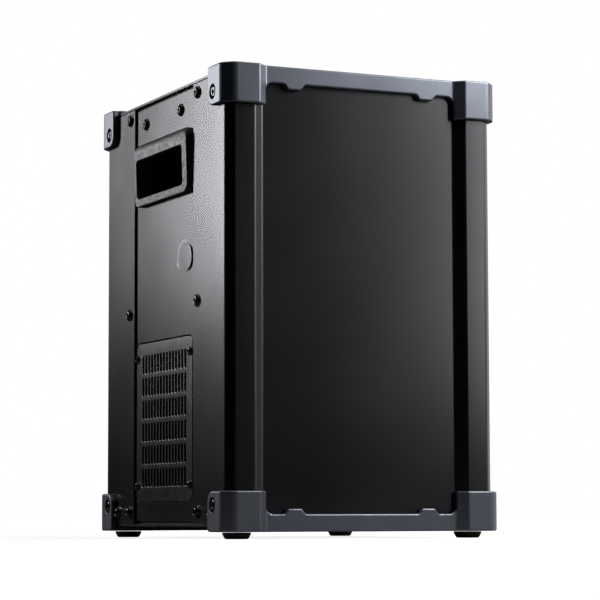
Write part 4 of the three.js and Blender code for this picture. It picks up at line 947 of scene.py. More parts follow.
@dataclass
class Bumpers:
    """Four castings of one shape: a skin that wraps round the corners and a pad on the plate."""

    half_width: float = 96.0
    front: float = -112.5
    chamfer: float = 4.75
    rail_inner: float = 76.25
    panel_half: float = 69.85
    step_depth: float = 5.5
    proud: float = 4.0
    top: float = 304.5
    middle: float = 154.5
    block_height: float = 26.1
    bar_height: float = 11.3
    flange_run: float = 24.3
    skin: float = 3.7
    pad_low: float = 301.6
    pad_edge: float = 68.0
    pad_lap: float = 0.3
    pad_gap: float = 0.02
    pad_rounding: float = 0.5
    web_back: float = -99.5
    pad_chamfer: float = 6.0
    bar_corner: float = 5.0
    block_corner: float = 1.2
    flange_corner: float = 8.0
    flange_top: float = 2.6
    bump_start: float = 40.0
    bump_flat: float = 8.0
    bump_ramp: float = 4.0
    bump_drop: float = 3.5
    edge: float = 1.9
    corner_radius: float = 7.0
    bend_radius: float = 2.4
    screw_back: float = 15.9
    screw_down: float = 17.2
    sink_radius: float = 5.0
    sink_depth: float = 2.3
    hole_radius: float = 2.75
    hole_depth: float = 9.0
    steps: int = 6
    pad_steps: int = 60

    def plan(self) -> list[Point]:
        """The skin's outer line from its middle to the end of the right flange, sharp.

        Returns:
            The line's corners.
        """
        body = [
            (0.0, self.front + self.step_depth),
            (self.panel_half, self.front + self.step_depth),
            (self.rail_inner, self.front),
            (self.half_width - self.chamfer, self.front),
            (self.half_width, self.front + self.chamfer),
            (self.half_width, self.front + self.flange_run),
        ]
        return offset_path(body, self.proud)

    def bends(self) -> list[tuple[float, float, float]]:
        """Each bend of the skin as its place along the line, its angle and its radius.

        Returns:
            The bends from the middle outwards.
        """
        path = [Vector(point) for point in self.plan()]
        along, found = 0.0, []
        for i in range(1, len(path) - 1):
            before, after = path[i] - path[i - 1], path[i + 1] - path[i]
            along += before.length
            angle = -before.angle_signed(after)
            found.append((along, angle, self.corner_radius if i > 2 and angle > 0 else self.bend_radius))
        return found

    def wrap(self, along: float, height: float, depth: float) -> Vector:
        """Where a point of the flat skin comes to lie round the corner.

        Args:
            along: Distance from the middle along the outer line.
            height: The point's height.
            depth: How far it is behind the outer face.

        Returns:
            Its place in the frame.
        """
        path = self.plan()
        side = 1.0 if along >= 0 else -1.0
        rest = abs(along)
        heading = 0.0
        for place, angle, radius in self.bends():
            reach = radius * math.tan(abs(angle) / 2)
            if rest <= place - reach:
                break
            if rest < place + reach:
                share = (rest - place + reach) / (2 * reach)
                bent = math.copysign(radius, angle)
                centre = self.on_line(path, place - reach) - self.outward(heading) * bent
                spot = centre + self.outward(heading + angle * share) * (bent - depth)
                return Vector((side * spot.x, spot.y, height))
            heading += angle
        spot = self.on_line(path, rest) - self.outward(heading) * depth
        return Vector((side * spot.x, spot.y, height))

    @staticmethod
    def outward(heading: float) -> Vector:
        """The direction that a skin faces when it has turned by an angle."""
        return Vector((math.sin(heading), -math.cos(heading)))

    @staticmethod
    def on_line(path: Sequence[Point], along: float) -> Vector:
        """The point at a distance along a path.

        Args:
            path: The path's corners.
            along: The distance from its start.

        Returns:
            The point.
        """
        for start, end in zip(path, path[1:]):
            run = Vector(end) - Vector(start)
            if along <= run.length or end == path[-1]:
                return Vector(start) + run.normalized() * along
            along -= run.length
        return Vector(path[-1])

    def length(self) -> float:
        """The length of the outer line from the middle to the flange's end."""
        path = self.plan()
        return sum((Vector(b) - Vector(a)).length for a, b in zip(path, path[1:]))

    def lower_edge(self) -> list[Point]:
        """The lower edge of the flat skin's right half, from the middle to the flange's end.

        Returns:
            Points as a distance along the skin and a height.
        """
        bar, drop = self.top - self.bar_height, self.bump_drop
        second = self.bump_start + self.bump_ramp + self.bump_flat
        points: list[Point] = []
        for start, first, last in ((self.bump_start, 0.0, drop), (second, drop, 0.0)):
            for i in range(self.steps + 1):
                ease = (1 - math.cos(math.pi * i / self.steps)) / 2
                points.append((start + self.bump_ramp * i / self.steps, bar - first - (last - first) * ease))
        block, end, low = self.bends()[0][0], self.length(), self.top - self.block_height
        corners = [
            (points[-1][0], bar, 0),
            (block, bar, self.bar_corner),
            (block, low, self.block_corner),
            (end, low, self.flange_corner),
            (end, self.top, self.flange_top),
            (end - self.flange_corner, self.top, 0),
        ]
        return points + rounded(corners, 8)[1:]

    def casting(self) -> Form:
        """The top front bumper's skin, bent round the corners.

        Returns:
            The skin's form.
        """
        form = Form()
        right = self.lower_edge()
        outline = [(-along, height) for along, height in reversed(right)] + right
        form.across(outline, 0.0, self.skin)
        form.close()
        rim = [edge for edge in form.sharp_edges() if all(vert.co.y < 1e-6 for vert in edge.verts)]
        form.bevel(rim, self.edge, 5)
        for place, angle, radius in self.bends():
            reach = radius * math.tan(abs(angle) / 2)
            for i in range(self.steps + 1):
                cut = place - reach + 2 * reach * i / self.steps
                form.slice(ALONG_X, cut)
                form.slice(ALONG_X, -cut)
        for vert in form.bm.verts:
            vert.co = self.wrap(vert.co.x, vert.co.z, vert.co.y)
        return form

    def pad(self) -> Form:
        """The pad and the web that lie on the plate behind the skin.

        Returns:
            The pad's form.
        """
        end = self.length() - self.flange_top
        shares = (2 * i / self.pad_steps - 1 for i in range(self.pad_steps + 1))
        line = [self.wrap(end * share, 0.0, self.skin - self.pad_lap) for share in shares]
        back = self.front + self.flange_run
        inner = [
            (self.half_width - self.flange_top, back),
            (self.pad_edge, back),
            (self.pad_edge, self.web_back + self.pad_chamfer),
            (self.pad_edge - self.pad_chamfer, self.web_back),
        ]
        outline = [(spot.x, spot.y) for spot in line] + inner + [(-x, y) for x, y in reversed(inner)]
        form = Form()
        form.upright(outline, self.pad_low, self.top - self.pad_gap)
        form.close()
        form.bevel(form.sharp_edges(), self.pad_rounding, 2)
        return form

    def sink(self, side: Side) -> Piece:
        """A cutter in the shape of a stepped screw hole in one flange.

        Args:
            side: Which flange it is for.

        Returns:
            The cutter.
        """
        flare = self.sink_radius + 0.3
        profile = [
            (0.0, 2.0), (flare, 2.0), (flare, 0.0), (self.sink_radius, -0.3),
            (self.sink_radius, -self.sink_depth), (self.hole_radius, -self.sink_depth),
            (self.hole_radius, -self.hole_depth), (0.0, -self.hole_depth),
        ]
        x = side.value * (self.half_width + self.proud)
        centre = Vector((x, self.front + self.screw_back, self.top - self.screw_down))
        form = Form()
        form.turned(profile, centre, ALONG_X * side.value, 40)
        return form.close().piece("sink_cutter")

    def cut_sinks(self, skin: Piece) -> Form:
        """The skin with both stepped screw holes cut.

        Args:
            skin: The skin before the holes, which is used up.

        Returns:
            The cut skin's form.
        """
        cutters = [self.sink(side) for side in Side]
        for cutter in cutters:
            cutting = skin.modifiers.new("stepped hole", "BOOLEAN")
            cutting.operation = "DIFFERENCE"
            cutting.solver = "EXACT"
            cutting.object = cutter
        graph = bpy.context.evaluated_depsgraph_get()
        form = Form.taken(bpy.data.meshes.new_from_object(skin.evaluated_get(graph)))
        for used in (*cutters, skin):
            bpy.data.objects.remove(used)
        return form

    def build(self) -> None:
        """Makes the four castings from one."""
        whole = self.cut_sinks(self.casting().piece("bumper_skin"))
        whole.absorb(self.pad())
        half_turn = Matrix.Rotation(math.pi, 4, "Z")
        flip = Matrix.Translation((0, 0, 2 * self.middle)) @ Matrix.Scale(-1, 4, ALONG_Z)
        for name, matrix in (
            ("top_front_bumper", Matrix.Identity(4)),
            ("top_rear_bumper", half_turn),
            ("bottom_front_bumper", flip),
            ("bottom_rear_bumper", flip @ half_turn),
        ):
            dressed(even_shading(whole.moved(matrix).piece(f"{name}_casting")), CAST_COAT, "root", name)
        whole.bm.free()


@dataclass
class HandleCups:
    """Moulded cups with a sloping bezel, a window and a pocket that goes up behind the lip."""

    panel: float = 94.4
    middle_z: float = 250.4
    front: float = -51.0
    rear: float = 49.0
    height: float = 44.0
    corner: float = 8.0
    proud_top: float = 5.9
    proud_bottom: float = 4.4
    sunk_in: float = 0.3
    window_width: float = 84.6
    window_height: float = 26.4
    window_z: float = 247.4
    window_corner: float = 3.0
    wall: float = 2.2
    hook: float = 5.4
    hook_thickness: float = 5.0
    depth: float = 24.0
    edge: float = 0.9
    hood_depth: float = 3.4
    hood_height: float = 6.5
    rear_edge: float = 2.6
    window_edge: float = 0.8
    steps: int = 6
    window_steps: int = 4

    def face_x(self, z: float) -> float:
        """Where the sloping bezel lies at a height, on the left side."""
        share = min(max((z - self.middle_z) / self.height + 0.5, 0.0), 1.0)
        return -self.panel - self.proud_bottom - (self.proud_top - self.proud_bottom) * share

    def outline(self) -> list[Point]:
        """The bezel's outline where it meets the panel."""
        middle, width = (self.front + self.rear) / 2, self.rear - self.front
        return rounded_rectangle((middle, self.middle_z), width, self.height, self.corner)

    def opening(self, grown: float = 0.0, hook: float = 0.0) -> list[Point]:
        """The window's outline, grown all round or taller by the hook.

        Args:
            grown: How much further out the outline lies all round.
            hook: How much higher its top lies.

        Returns:
            The outline's points.
        """
        middle = (0.0, self.window_z + hook / 2)
        width, height = self.window_width + 2 * grown, self.window_height + hook + 2 * grown
        return rounded_rectangle(middle, width, height, self.window_corner + grown)

    def bezel_ring(self, turn: float) -> list[Vector]:
        """One ring of the bezel's rounded edge, which is widest along the top.

        Args:
            turn: The share of the rounding, from 0 on the wall to 1 on the face.

        Returns:
            The ring's points.
        """
        ring = []
        inward = 1 - math.cos(turn * math.pi / 2)
        behind = 1 - math.sin(turn * math.pi / 2)
        for y, z in self.outline():
            core_y = self.rear - self.corner if y > 0 else self.front + self.corner
            core_z = self.middle_z + math.copysign(self.height / 2 - self.corner, z - self.middle_z)
            out_y, out_z = (y - core_y) / self.corner, (z - core_z) / self.corner
            hood, rear = max(out_z, 0.0) ** 2, self.rear_edge * max(out_y, 0.0) ** 2
            sunk = (self.edge + self.hood_depth * hood + rear) * behind
            high = z - out_z * (self.edge + self.hood_height * hood) * inward
            ring.append(Vector((self.face_x(high) + sunk, y - out_y * (self.edge + rear) * inward, high)))
        return ring

    def window_ring(self, turn: float) -> list[Vector]:
        """One ring of the window's rounded edge, by its angle."""
        grown, sunk = self.window_edge * (1 - math.sin(turn)), self.window_edge * (1 - math.cos(turn))
        return [Vector((self.face_x(z) + sunk, y, z)) for y, z in self.opening(grown)]

    def build(self) -> None:
        """Makes the left cup from the back of its bezel round into its pocket, and mirrors it."""
        shell, pocket = self.opening(self.wall, self.hook), self.opening(0.0, self.hook)
        behind, deep = -self.panel - self.sunk_in, -self.panel + self.depth
        hook_x = -self.panel - self.proud_top + self.hook_thickness

        def flat(outline: Sequence[Point], x: float) -> list[Vector]:
            """An outline as a ring in one plane."""
            return [Vector((x, y, z)) for y, z in outline]

        form = Form()
        form.ring_loops([
            flat(shell, deep),
            flat(shell, behind),
            flat(self.outline(), behind),
            *(self.bezel_ring(i / self.steps) for i in range(self.steps + 1)),
            *(self.window_ring(math.pi / 2 * i / self.window_steps) for i in range(self.window_steps + 1)),
            flat(self.opening(), hook_x),
            flat(pocket, hook_x),
            flat(pocket, deep - self.wall),
        ])
        both_sides(form.close(), "handle_moulding", MOULDED, "handle_cup")


@dataclass
class Grilles:
    """Moulded grille plates with rounded slots, and the fans behind them."""

    outer: float = 94.6
    middle_y: float = 1.5
    middle_z: float = 79.2
    width: float = 102.9
    height: float = 108.9
    corner: float = 5.7
    thickness: float = 3.0
    columns: int = 15
    rows: int = 6
    pitch_y: float = 5.55
    pitch_z: float = 15.57
    slot_width: float = 3.1
    slot_length: float = 12.4
    slot_rise: float = 0.5
    slot_corner: float = 0.9
    lip: float = 0.42
    rim: float = 0.7

    @staticmethod
    def spans(middle: float, count: int, pitch: float, length: float) -> list[Point]:
        """The two ends of every slot along one axis."""
        places = (middle + (i - (count - 1) / 2) * pitch for i in range(count))
        return [(place - length / 2, place + length / 2) for place in places]

    def plate(self) -> Form:
        """The left plate: a sheet with slots, thickened, with its edges rounded.

        Returns:
            The plate's form.
        """
        form = Form()
        middle = (self.middle_y, self.middle_z)
        outline = rounded_rectangle(middle, self.width, self.height, self.corner)
        form.bm.faces.new(form.loop(Vector((-self.outer, y, z)) for y, z in outline))
        across = self.spans(self.middle_y, self.columns, self.pitch_y, self.slot_width)
        upward = self.spans(self.middle_z + self.slot_rise, self.rows, self.pitch_z, self.slot_length)
        for spans, axis in ((across, ALONG_Y), (upward, ALONG_Z)):
            for place in (end for span in spans for end in span):
                form.slice(axis, place)
        holes = []
        for face in form.bm.faces:
            spot = face.calc_center_median()
            in_y = any(low < spot.y < high for low, high in across)
            if in_y and any(low < spot.z < high for low, high in upward):
                holes.append(face)
        bmesh.ops.delete(form.bm, geom=holes, context="FACES")
        form.thicken(form.bm.faces[:], ALONG_X * self.thickness)
        form.close()
        inside = self.width / 2 - self.corner
        walls = [
            edge for edge in form.sharp_edges()
            if abs(edge.verts[0].co.x - edge.verts[1].co.x) > 1
            and abs(edge.verts[0].co.y - self.middle_y) < inside
        ]
        form.bevel(walls, self.slot_corner, 2)
        for width, is_rim in ((self.rim, True), (self.lip, False)):
            front = [edge for edge in form.sharp_edges() if self.in_front(edge)]
            form.bevel([edge for edge in front if self.on_rim(edge) is is_rim], width, 2)
        return form

    def in_front(self, edge: Edge) -> bool:
        """Whether an edge lies in the plate's outer face."""
        return all(vert.co.x < -self.outer + 0.01 for vert in edge.verts)

    def on_rim(self, edge: Edge) -> bool:
        """Whether an edge belongs to the plate's outline.

        Args:
            edge: An edge of the plate's outer face.

        Returns:
            True for the outline, False for a slot.
        """
        middle = (edge.verts[0].co + edge.verts[1].co) / 2
        return (
            abs(middle.y - self.middle_y) > self.width / 2 - self.corner
            or abs(middle.z - self.middle_z) > self.height / 2 - self.corner
        )

    def build(self) -> None:
        """Makes the plates and finishes the fans."""
        both_sides(self.plate(), "grille_moulding", SATIN_MOULDED, "grille")
        for fan in ("left_fan", "right_fan"):
            finish_node(f"{fan}_frame", SMOOTH_MOULDED)
            finish_node(f"{fan}_rotor", SMOOTH_MOULDED)


class Head(Enum):
    """The shapes of screw heads, as radius, height and socket radius."""

    LARGE_BUTTON = (4.3, 2.3, 1.55)
    SMALL_BUTTON = (3.1, 1.7, 1.15)
    SUNK = (3.5, 0.5, 1.6)
    TINY = (2.1, 1.1, 0.75)


@dataclass
class Screws:
    """Screw heads with hexagonal sockets, in the casing, the grille plates and the bumpers."""

    strip_x: float = 96.0
    strip_y: float = 62.5
    strip_heights: tuple[float, ...] = (292.7, 155.0, 17.3)
    outer_y: float = 85.0
    panel_x: float = 94.4
    panel_y: float = 3.2
    panel_reach: float = 32.3
    panel_z: float = 286.2
    grille_x: float = 94.6
    grille_y: float = 1.9
    grille_reach: float = 48.0
    grille_heights: Point = (35.3, 123.1)
    flange_x: float = 99.25
    flange_y: float = 96.6
    flange_heights: Point = (287.3, 21.7)
    places: list[tuple[Head, float, float, float]] = field(default_factory=list)

    def lay_out(self) -> None:
        """Lists every head as its shape and its place on the left side."""
        for end in (-1, 1):
            large, low = (Head.LARGE_BUTTON, self.strip_x), self.strip_heights[-1]
            self.places += [(*large, end * self.strip_y, z) for z in self.strip_heights]
            self.places.append((*large, end * self.outer_y, low))
            y = self.panel_y + end * self.panel_reach
            self.places.append((Head.LARGE_BUTTON, self.panel_x, y, self.panel_z))
            y = self.grille_y + end * self.grille_reach
            self.places += [(Head.SMALL_BUTTON, self.grille_x, y, z) for z in self.grille_heights]
            y = end * self.flange_y
            self.places += [(Head.SUNK, self.flange_x, y, z) for z in self.flange_heights]

    @staticmethod
    def head(form: Form, shape: Head, seat: Vector, axis: Vector) -> None:
        """Adds one head with its socket to a mesh.

        Args:
            form: The mesh that takes it.
            shape: The head's shape.
            seat: The middle of its underside.
            axis: The direction in which it stands proud.
        """
        radius, height, socket = shape.value
        sides, mouth, socket_depth = 36, 1.1 * socket, 1.1
        if shape is Head.SUNK:
            dome = [(radius, -1.6), (radius, 0.0), (radius - 0.25, height * 0.7), (radius - 0.7, height)]
        else:
            dome = [(radius, 0.0)] + [
                (radius * math.cos(turn) ** 0.8, height * math.sin(turn) ** 0.9)
                for turn in (0.12, 0.35, 0.6, 0.8)
            ]
            dome += [(radius * 0.65, height * 0.91), (radius * 0.58, height)]
        dome += [(socket * 1.2, height), (socket * 1.12, height - 0.05), (mouth, height - 0.12)]
        new = Form()
        new.turned(dome, seat, axis, sides)
        out = axis.orthogonal().normalized()
        turned = [Matrix.Rotation(TURN * i / sides, 3, axis) @ out for i in range(sides)]
        flat = [
            spoke * (socket / math.cos((i % 6 - 3) * TURN / sides)) for i, spoke in enumerate(turned)
        ]
        loops = [
            new.ring(new.loop(seat + axis * level + spoke for spoke in spokes))
            for level, spokes in (
                (height - 0.12, [spoke * mouth for spoke in turned]),
                (height - 0.3, flat),
                (height - socket_depth, flat),
            )
        ]
        for here, there in zip(loops, loops[1:]):
            bmesh.ops.bridge_loops(new.bm, edges=[*here, *there])
        bmesh.ops.contextual_create(new.bm, geom=loops[-1])
        bmesh.ops.remove_doubles(new.bm, verts=new.bm.verts, dist=10 * MERGE)
        for face in new.bm.faces:
            face.normal_update()
        bmesh.ops.recalc_face_normals(new.bm, faces=new.bm.faces)
        form.absorb(new)

    @staticmethod
    def finished(form: Form, name: str) -> None:
        """Makes one piece of all the heads in a form."""
        piece = dressed(form.piece(name), SCREW_BLACK, "root")
        piece.data.set_sharp_from_angle(angle=math.radians(40))

    def build(self) -> None:
        """Makes the heads of each side."""
        self.lay_out()
        for side in Side:
            form = Form()
            for shape, x, y, z in self.places:
                self.head(form, shape, Vector((side.value * x, y, z)), ALONG_X * side.value)
            self.finished(form, f"{side.name.lower()}_screws")


@dataclass
class Feet:
    """Turned rubber feet with a hollow underneath."""

    radius: float = 9.25
    taper: float = 1.7
    high: float = 4.2
    rim: float = 0.8
    recess: float = 4.0
    recess_depth: float = 2.4
    at_x: float = 83.5
    at_y: float = 98.0

    def build(self) -> None:
        """Makes the four feet."""
        corners = [
            (0.0, self.recess_depth, 0), (self.recess, self.recess_depth, 0.3), (self.recess, 0.0, 0.3),
            (self.radius - self.taper, 0.0, 1.8), (self.radius, self.high - self.rim, 0.5),
            (self.radius, self.high, 0.3), (0.0, self.high, 0),
        ]
        for end, sign_y in (("front", -1), ("rear", 1)):
            for side in Side:
                name = f"foot_{end}_{side.name.lower()}"
                centre = Vector((side.value * self.at_x, sign_y * self.at_y, 0))
                spun(f"{name}_rubber", RUBBER, "root", name, centre, corners)


@dataclass
class Drain:
    """The drain plug and the printed arrow that curves round it."""

    panel: float = 94.4
    at_y: float = -41.6
    at_z: float = 185.6
    radius: float = 8.8
    proud: float = 1.1
    sunk: float = 0.3
    neck: float = 5.6
    reach: float = 9.3
    lug_reach: float = 6.6
    lug_length: float = 2.0
    lug_height: float = 3.0
    arrow_radius: float = 12.0
    arrow_y: float = -35.1
    arrow_width: float = 1.2
    arrow_start: float = -18.0
    arrow_end: float = 101.0
    arrow_steps: int = 32
    head_length: float = 4.6
    head_width: float = 4.4
    ink: float = 0.05

    def plug(self) -> None:
        """The disc with its neck and two lugs behind the panel."""
        corners = [
            (0.0, self.proud, 0), (self.radius, self.proud, 0.45), (self.radius, -self.sunk, 0.1),
            (self.neck, -self.sunk, 0), (self.neck, -self.reach, 0.4), (0.0, -self.reach, 0),
        ]
        form = Form()
        form.turned(rounded(corners, 4), Vector((-self.panel, self.at_y, self.at_z)), -ALONG_X)
        form.close()
        lugs, end = Form(), -self.panel + self.reach
        outline = rounded_rectangle((self.at_y, self.at_z), 2 * self.lug_reach, self.lug_height, 0.4, 3)
        lugs.sideways(outline, end - self.lug_length, end)
        form.absorb(lugs.close())
        dressed(even_shading(form.piece("drain_plug_disc")), POWDER_COAT, "drain_plug", "drain_plug")

    def spot(self, radius: float, degrees: float) -> Point:
        """A point on the arrow's circle, from the top towards the rear."""
        turn = math.radians(degrees)
        return self.arrow_y + radius * math.sin(turn), self.at_z + radius * math.cos(turn)

    def arrow(self) -> None:
        """The printed arc with its arrowhead."""
        half, head_half = self.arrow_width / 2, self.head_width / 2
        tip = self.arrow_end + math.degrees(self.head_length / self.arrow_radius)
        sweep = self.arrow_end - self.arrow_start
        turns = [self.arrow_start + sweep * i / self.arrow_steps for i in range(self.arrow_steps + 1)]
        outline = [
            *(self.spot(self.arrow_radius + half, turn) for turn in turns),
            self.spot(self.arrow_radius + head_half, self.arrow_end),
            self.spot(self.arrow_radius, tip),
            self.spot(self.arrow_radius - head_half, self.arrow_end),
            *(self.spot(self.arrow_radius - half, turn) for turn in reversed(turns)),
        ]
        form = Form()
        form.sideways(outline, -self.panel - self.ink, -self.panel + self.ink)
        dressed(form.close().piece("drain_arrow_print"), WHITE_PRINT, "root")

    def build(self) -> None:
        """Makes both."""
        self.plug()
        self.arrow()


@dataclass
class TopPieces:
    """What stands on the top plate: outlet, filler and control panel."""

    plate: float = 301.3
    sheet: float = 1.7
    seat: float = 0.3
    nozzle: Point = (0.0, -58.0)
    tube: float = 15.0
    bore: float = 12.0
    nozzle_top: float = 304.2
    nozzle_foot: float = 263.2
    flange: float = 25.0
    flange_thick: float = 2.3
    ring: float = 32.0
    ring_rim: float = 0.9
    ring_flat: float = 27.0
    ring_thick: float = 2.4
    filler: Point = (-45.0, 36.0)
    neck: float = 19.5
    neck_wall: float = 3.0
    neck_below: float = 8.0
    neck_above: float = 4.9
    collar: float = 26.0
    collar_thick: float = 1.7
    seal_thick: float = 1.0
    panel_x: float = 38.0
    button_y: float = 25.0
    button_top: float = 306.3
    button_pitch: float = 18.0
    button: float = 4.5
    button_stop: float = 5.7
    stop_top: float = 302.0
    stop_thick: float = 1.0
    dish: float = 3.2
    dish_depth: float = 0.25
    print_sunk: float = 0.2
    print_thick: float = 0.06

    def outlet(self) -> None:
        """The ring and the nozzle, turned from steel."""
        centre = Vector((*self.nozzle, 0))
        low, inner = self.plate + self.seat, self.tube + self.seat
        high = low + self.ring_thick
        spun("outlet_ring_turned", SPARK_STEEL, "root", "outlet_ring", centre, [
            (inner, low, 0), (self.ring, low, 0.1), (self.ring, low + self.ring_rim, 0.5),
            (self.ring_flat, high, 0.7), (inner, high, 0.35), (inner, low, 0),
        ], 96)
        high = self.plate - self.sheet - self.seat
        low = high - self.flange_thick
        spun("spark_nozzle_turned", SPARK_STEEL, "root", "spark_nozzle", centre, [
            (self.bore, self.nozzle_foot, 0), (self.tube, self.nozzle_foot, 0.3), (self.tube, low, 0.2),
            (self.flange, low, 0.3), (self.flange, high, 0.3), (self.tube, high, 0.2),
            (self.tube, self.nozzle_top, 0.6), (self.bore, self.nozzle_top, 0.8),
            (self.bore, self.nozzle_foot, 0),
        ], 96)

    def neck_and_seal(self) -> None:
        """The filler's neck and seal."""
        centre = Vector((*self.filler, 0))
        low, foot = self.plate + self.seat, self.plate - self.sheet - self.neck_below
        high, rim = low + self.collar_thick, self.plate + self.neck_above
        inner = self.neck - self.neck_wall
        spun("filler_neck_turned", NECK_ALUMINIUM, "root", "filler_neck", centre, [
            (inner, foot, 0), (self.neck, foot, 0.3), (self.neck, low, 0), (self.collar, low, 0.1),
            (self.collar, high, 0.4), (self.neck, high, 0.2), (self.neck, rim, 0.3), (inner, rim, 0.6),
            (inner, foot, 0),
        ], 96)
        low = rim + self.seat
        high = low + self.seal_thick
        spun("filler_seal_ring", RUBBER, "filler_seal", "filler_seal", centre, [
            (inner, low, 0), (self.neck, low, 0.3), (self.neck, high, 0.3), (inner, high, 0.3),
            (inner, low, 0),
        ], steps=3)

    @staticmethod
    def symbols() -> list[list[list[Point]]]:
        """The outlines printed on each button, about its middle: menu, up, down and enter.

        Returns:
            The outlines of each button's print.
        """
        bars = [
            [(-1.7, y - 0.22), (1.7, y - 0.22), (1.7, y + 0.22), (-1.7, y + 0.22)] for y in (-1.1, 0.0, 1.1)
        ]
        up, down = [(-1.8, -1.0), (1.8, -1.0), (0.0, 1.5)], [(-1.8, 1.0), (0.0, -1.5), (1.8, 1.0)]
        tick = [(-1.8, -0.1), (-1.3, 0.4), (-0.5, -0.4), (1.3, 1.5), (1.8, 1.0), (-0.5, -1.4)]
        return [bars, [up], [down], [tick]]

    def buttons(self) -> None:
        """Four buttons with slightly hollow tops and plain printed symbols."""
        stop_low, level = self.stop_top - self.stop_thick, self.button_top - self.print_sunk
        for number, shapes in enumerate(self.symbols(), 1):
            node = f"button_{number}"
            x = self.panel_x + (number - 2.5) * self.button_pitch
            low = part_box(f"button_{number}")[0].z / MM
            spun(f"{node}_cap", WHITE_PLASTIC, node, node, Vector((x, self.button_y, 0)), [
                (0.0, low, 0), (self.button, low, 0.2), (self.button, stop_low, 0),
                (self.button_stop, stop_low, 0.2), (self.button_stop, self.stop_top, 0.2),
                (self.button, self.stop_top, 0), (self.button, self.button_top, 0.7),
                (self.dish, self.button_top, 1.0), (0.0, self.button_top - self.dish_depth, 0),
            ], 64)
            ink = Form()
            for shape in shapes:
                ink.upright([(x + u, self.button_y + v) for u, v in shape], level, level + self.print_thick)
            dressed(ink.close().piece(f"{node}_symbol"), BLACK_PRINT, node)

    def build(self) -> None:
        """Makes the outlet, the filler and the control panel."""
        self.outlet()
        self.neck_and_seal()
        rounded_copy("filler_cap", MOULDED, 0.5, 3)
        rounded_copy("control_panel", MOULDED, 0.7, 3)
        finish_node("display_window", DISPLAY)
        finish_node("display_board", LAMINATE)
        self.buttons()


@dataclass
class RearPieces:
    """Connectors, switch and fuse on the recessed rear panel."""

    plate_face: float = 109.3
    rounding: float = 0.35
    screw_x: float = 9.9
    screw_z: float = 12.4
    connectors: tuple[Point, ...] = ((44.0, 55.0), (10.0, 55.0), (32.0, 95.0), (-4.0, 95.0))

    def build(self) -> None:
        """Rounds each connector and adds the small screws in its plate."""
        for node, finish in (
            ("power_inlet", BLUE_PLASTIC),
            ("power_outlet", WHITE_PLASTIC),
            ("signal_inlet", SMOOTH_MOULDED),
            ("signal_outlet", SMOOTH_MOULDED),
            ("signal_latch", ALUMINIUM),
            ("power_switch_frame", SMOOTH_MOULDED),
            ("power_switch_rocker", SMOOTH_MOULDED),
            ("fuse_holder", SMOOTH_MOULDED),
            ("fuse_cap", SMOOTH_MOULDED),
        ):
            rounded_copy(node, finish, self.rounding)
        form = Form()
        for x, z in self.connectors:
            for side in (-1, 1):
                seat = Vector((x + side * self.screw_x, self.plate_face, z - side * self.screw_z))
                Screws.head(form, Head.TINY, seat, ALONG_Y)
        Screws.finished(form, "rear_screws")


class Inside:
    """What shows through the openings or only when the machine is opened."""

    finishes: dict[str, Finish] = {
        "drain_tube": RUBBER,
        "heater_tube": HOT_STEEL,
        "heater_jacket": CERAMIC,
        "blower_housing": SMOOTH_MOULDED,
        "blower_cover": SMOOTH_MOULDED,
        "blower_wheel": SMOOTH_MOULDED,
        "blower_motor": ZINC,
        "hopper": ZINC,
        "feed_housing": ALUMINIUM,
        "feed_rotor": WHITE_PLASTIC,
        "feed_motor": ZINC,
        "equipment_deck": ZINC,
        "power_supply": SUPPLY_CASE,
        "heater_driver": ALUMINIUM,
    }

    def build(self) -> None:
        """Finishes the inner nodes."""
        for node, finish in self.finishes.items():
            finish_node(node, finish)


# The studio


@dataclass(frozen=True)
class Softbox:
    """A rectangular lamp that looks at the machine, in metres."""

    name: str
    azimuth: float
    distance: float
    height: float
    size: Point
    radiance: float
    aim: Corner = (0.0, 0.0, 0.15)
    colour: Colour = (0.965, 0.955, 1.0)

    def build(self) -> None:
        """Hangs the lamp, out of the camera's sight."""
        lamp = bpy.data.lights.new(self.name, "AREA")
        lamp.shape = "RECTANGLE"
        lamp.size, lamp.size_y = self.size
        lamp.energy = self.radiance * math.pi * self.size[0] * self.size[1]
        lamp.color = self.colour
        holder = linked(self.name, lamp)
        turn = math.radians(self.azimuth)
        place = Vector((self.distance * math.cos(turn), self.distance * math.sin(turn), self.height))
        holder.location = place
        holder.rotation_euler = (Vector(self.aim) - place).to_track_quat("-Z", "Y").to_euler()
        holder.visible_camera = False


@dataclass(frozen=True)
class Flag:
    """A black board with an apron on the floor, which only reflections see, in metres."""

    name: str
    start: float
    end: float
    distance: float = 2.3
    height: float = 3.0
    apron: float = 0.35
    apron_lift: float = 0.0005
    steps: int = 6

    def build(self) -> None:
        """Stands the board round the machine."""
        angles = (self.start + (self.end - self.start) * i / self.steps for i in range(self.steps + 1))
        turns = [math.radians(angle) for angle in angles]
        form = Form()
        around = (Vector((math.cos(turn), math.sin(turn), 0.0)) for turn in turns)
        foot = form.loop(spoke * self.distance / MM for spoke in around)
        edges = [form.bm.edges.new(pair) for pair in zip(foot, foot[1:])]
        grown = (bmesh.ops.extrude_edge_only(form.bm, edges=edges)["geom"] for _ in range(2))
        top, near = ([item for item in made if isinstance(item, Vert)] for made in grown)
        bmesh.ops.translate(form.bm, vec=ALONG_Z * (self.height / MM), verts=top)
        share = self.apron / self.distance
        bmesh.ops.scale(form.bm, vec=Vector((share, share, 1)), verts=near)
        bmesh.ops.translate(form.bm, vec=ALONG_Z * (self.apron_lift / MM), verts=near)
        board = form.piece(self.name)
        material, tree, shader = new_material(self.name)
        feed(tree, shader, {"Base Color": (0, 0, 0, 1), "Specular IOR Level": 0.0})
        board.data.materials.append(material)
        board.visible_camera = board.visible_diffuse = False
        board.visible_shadow = board.visible_transmission = False


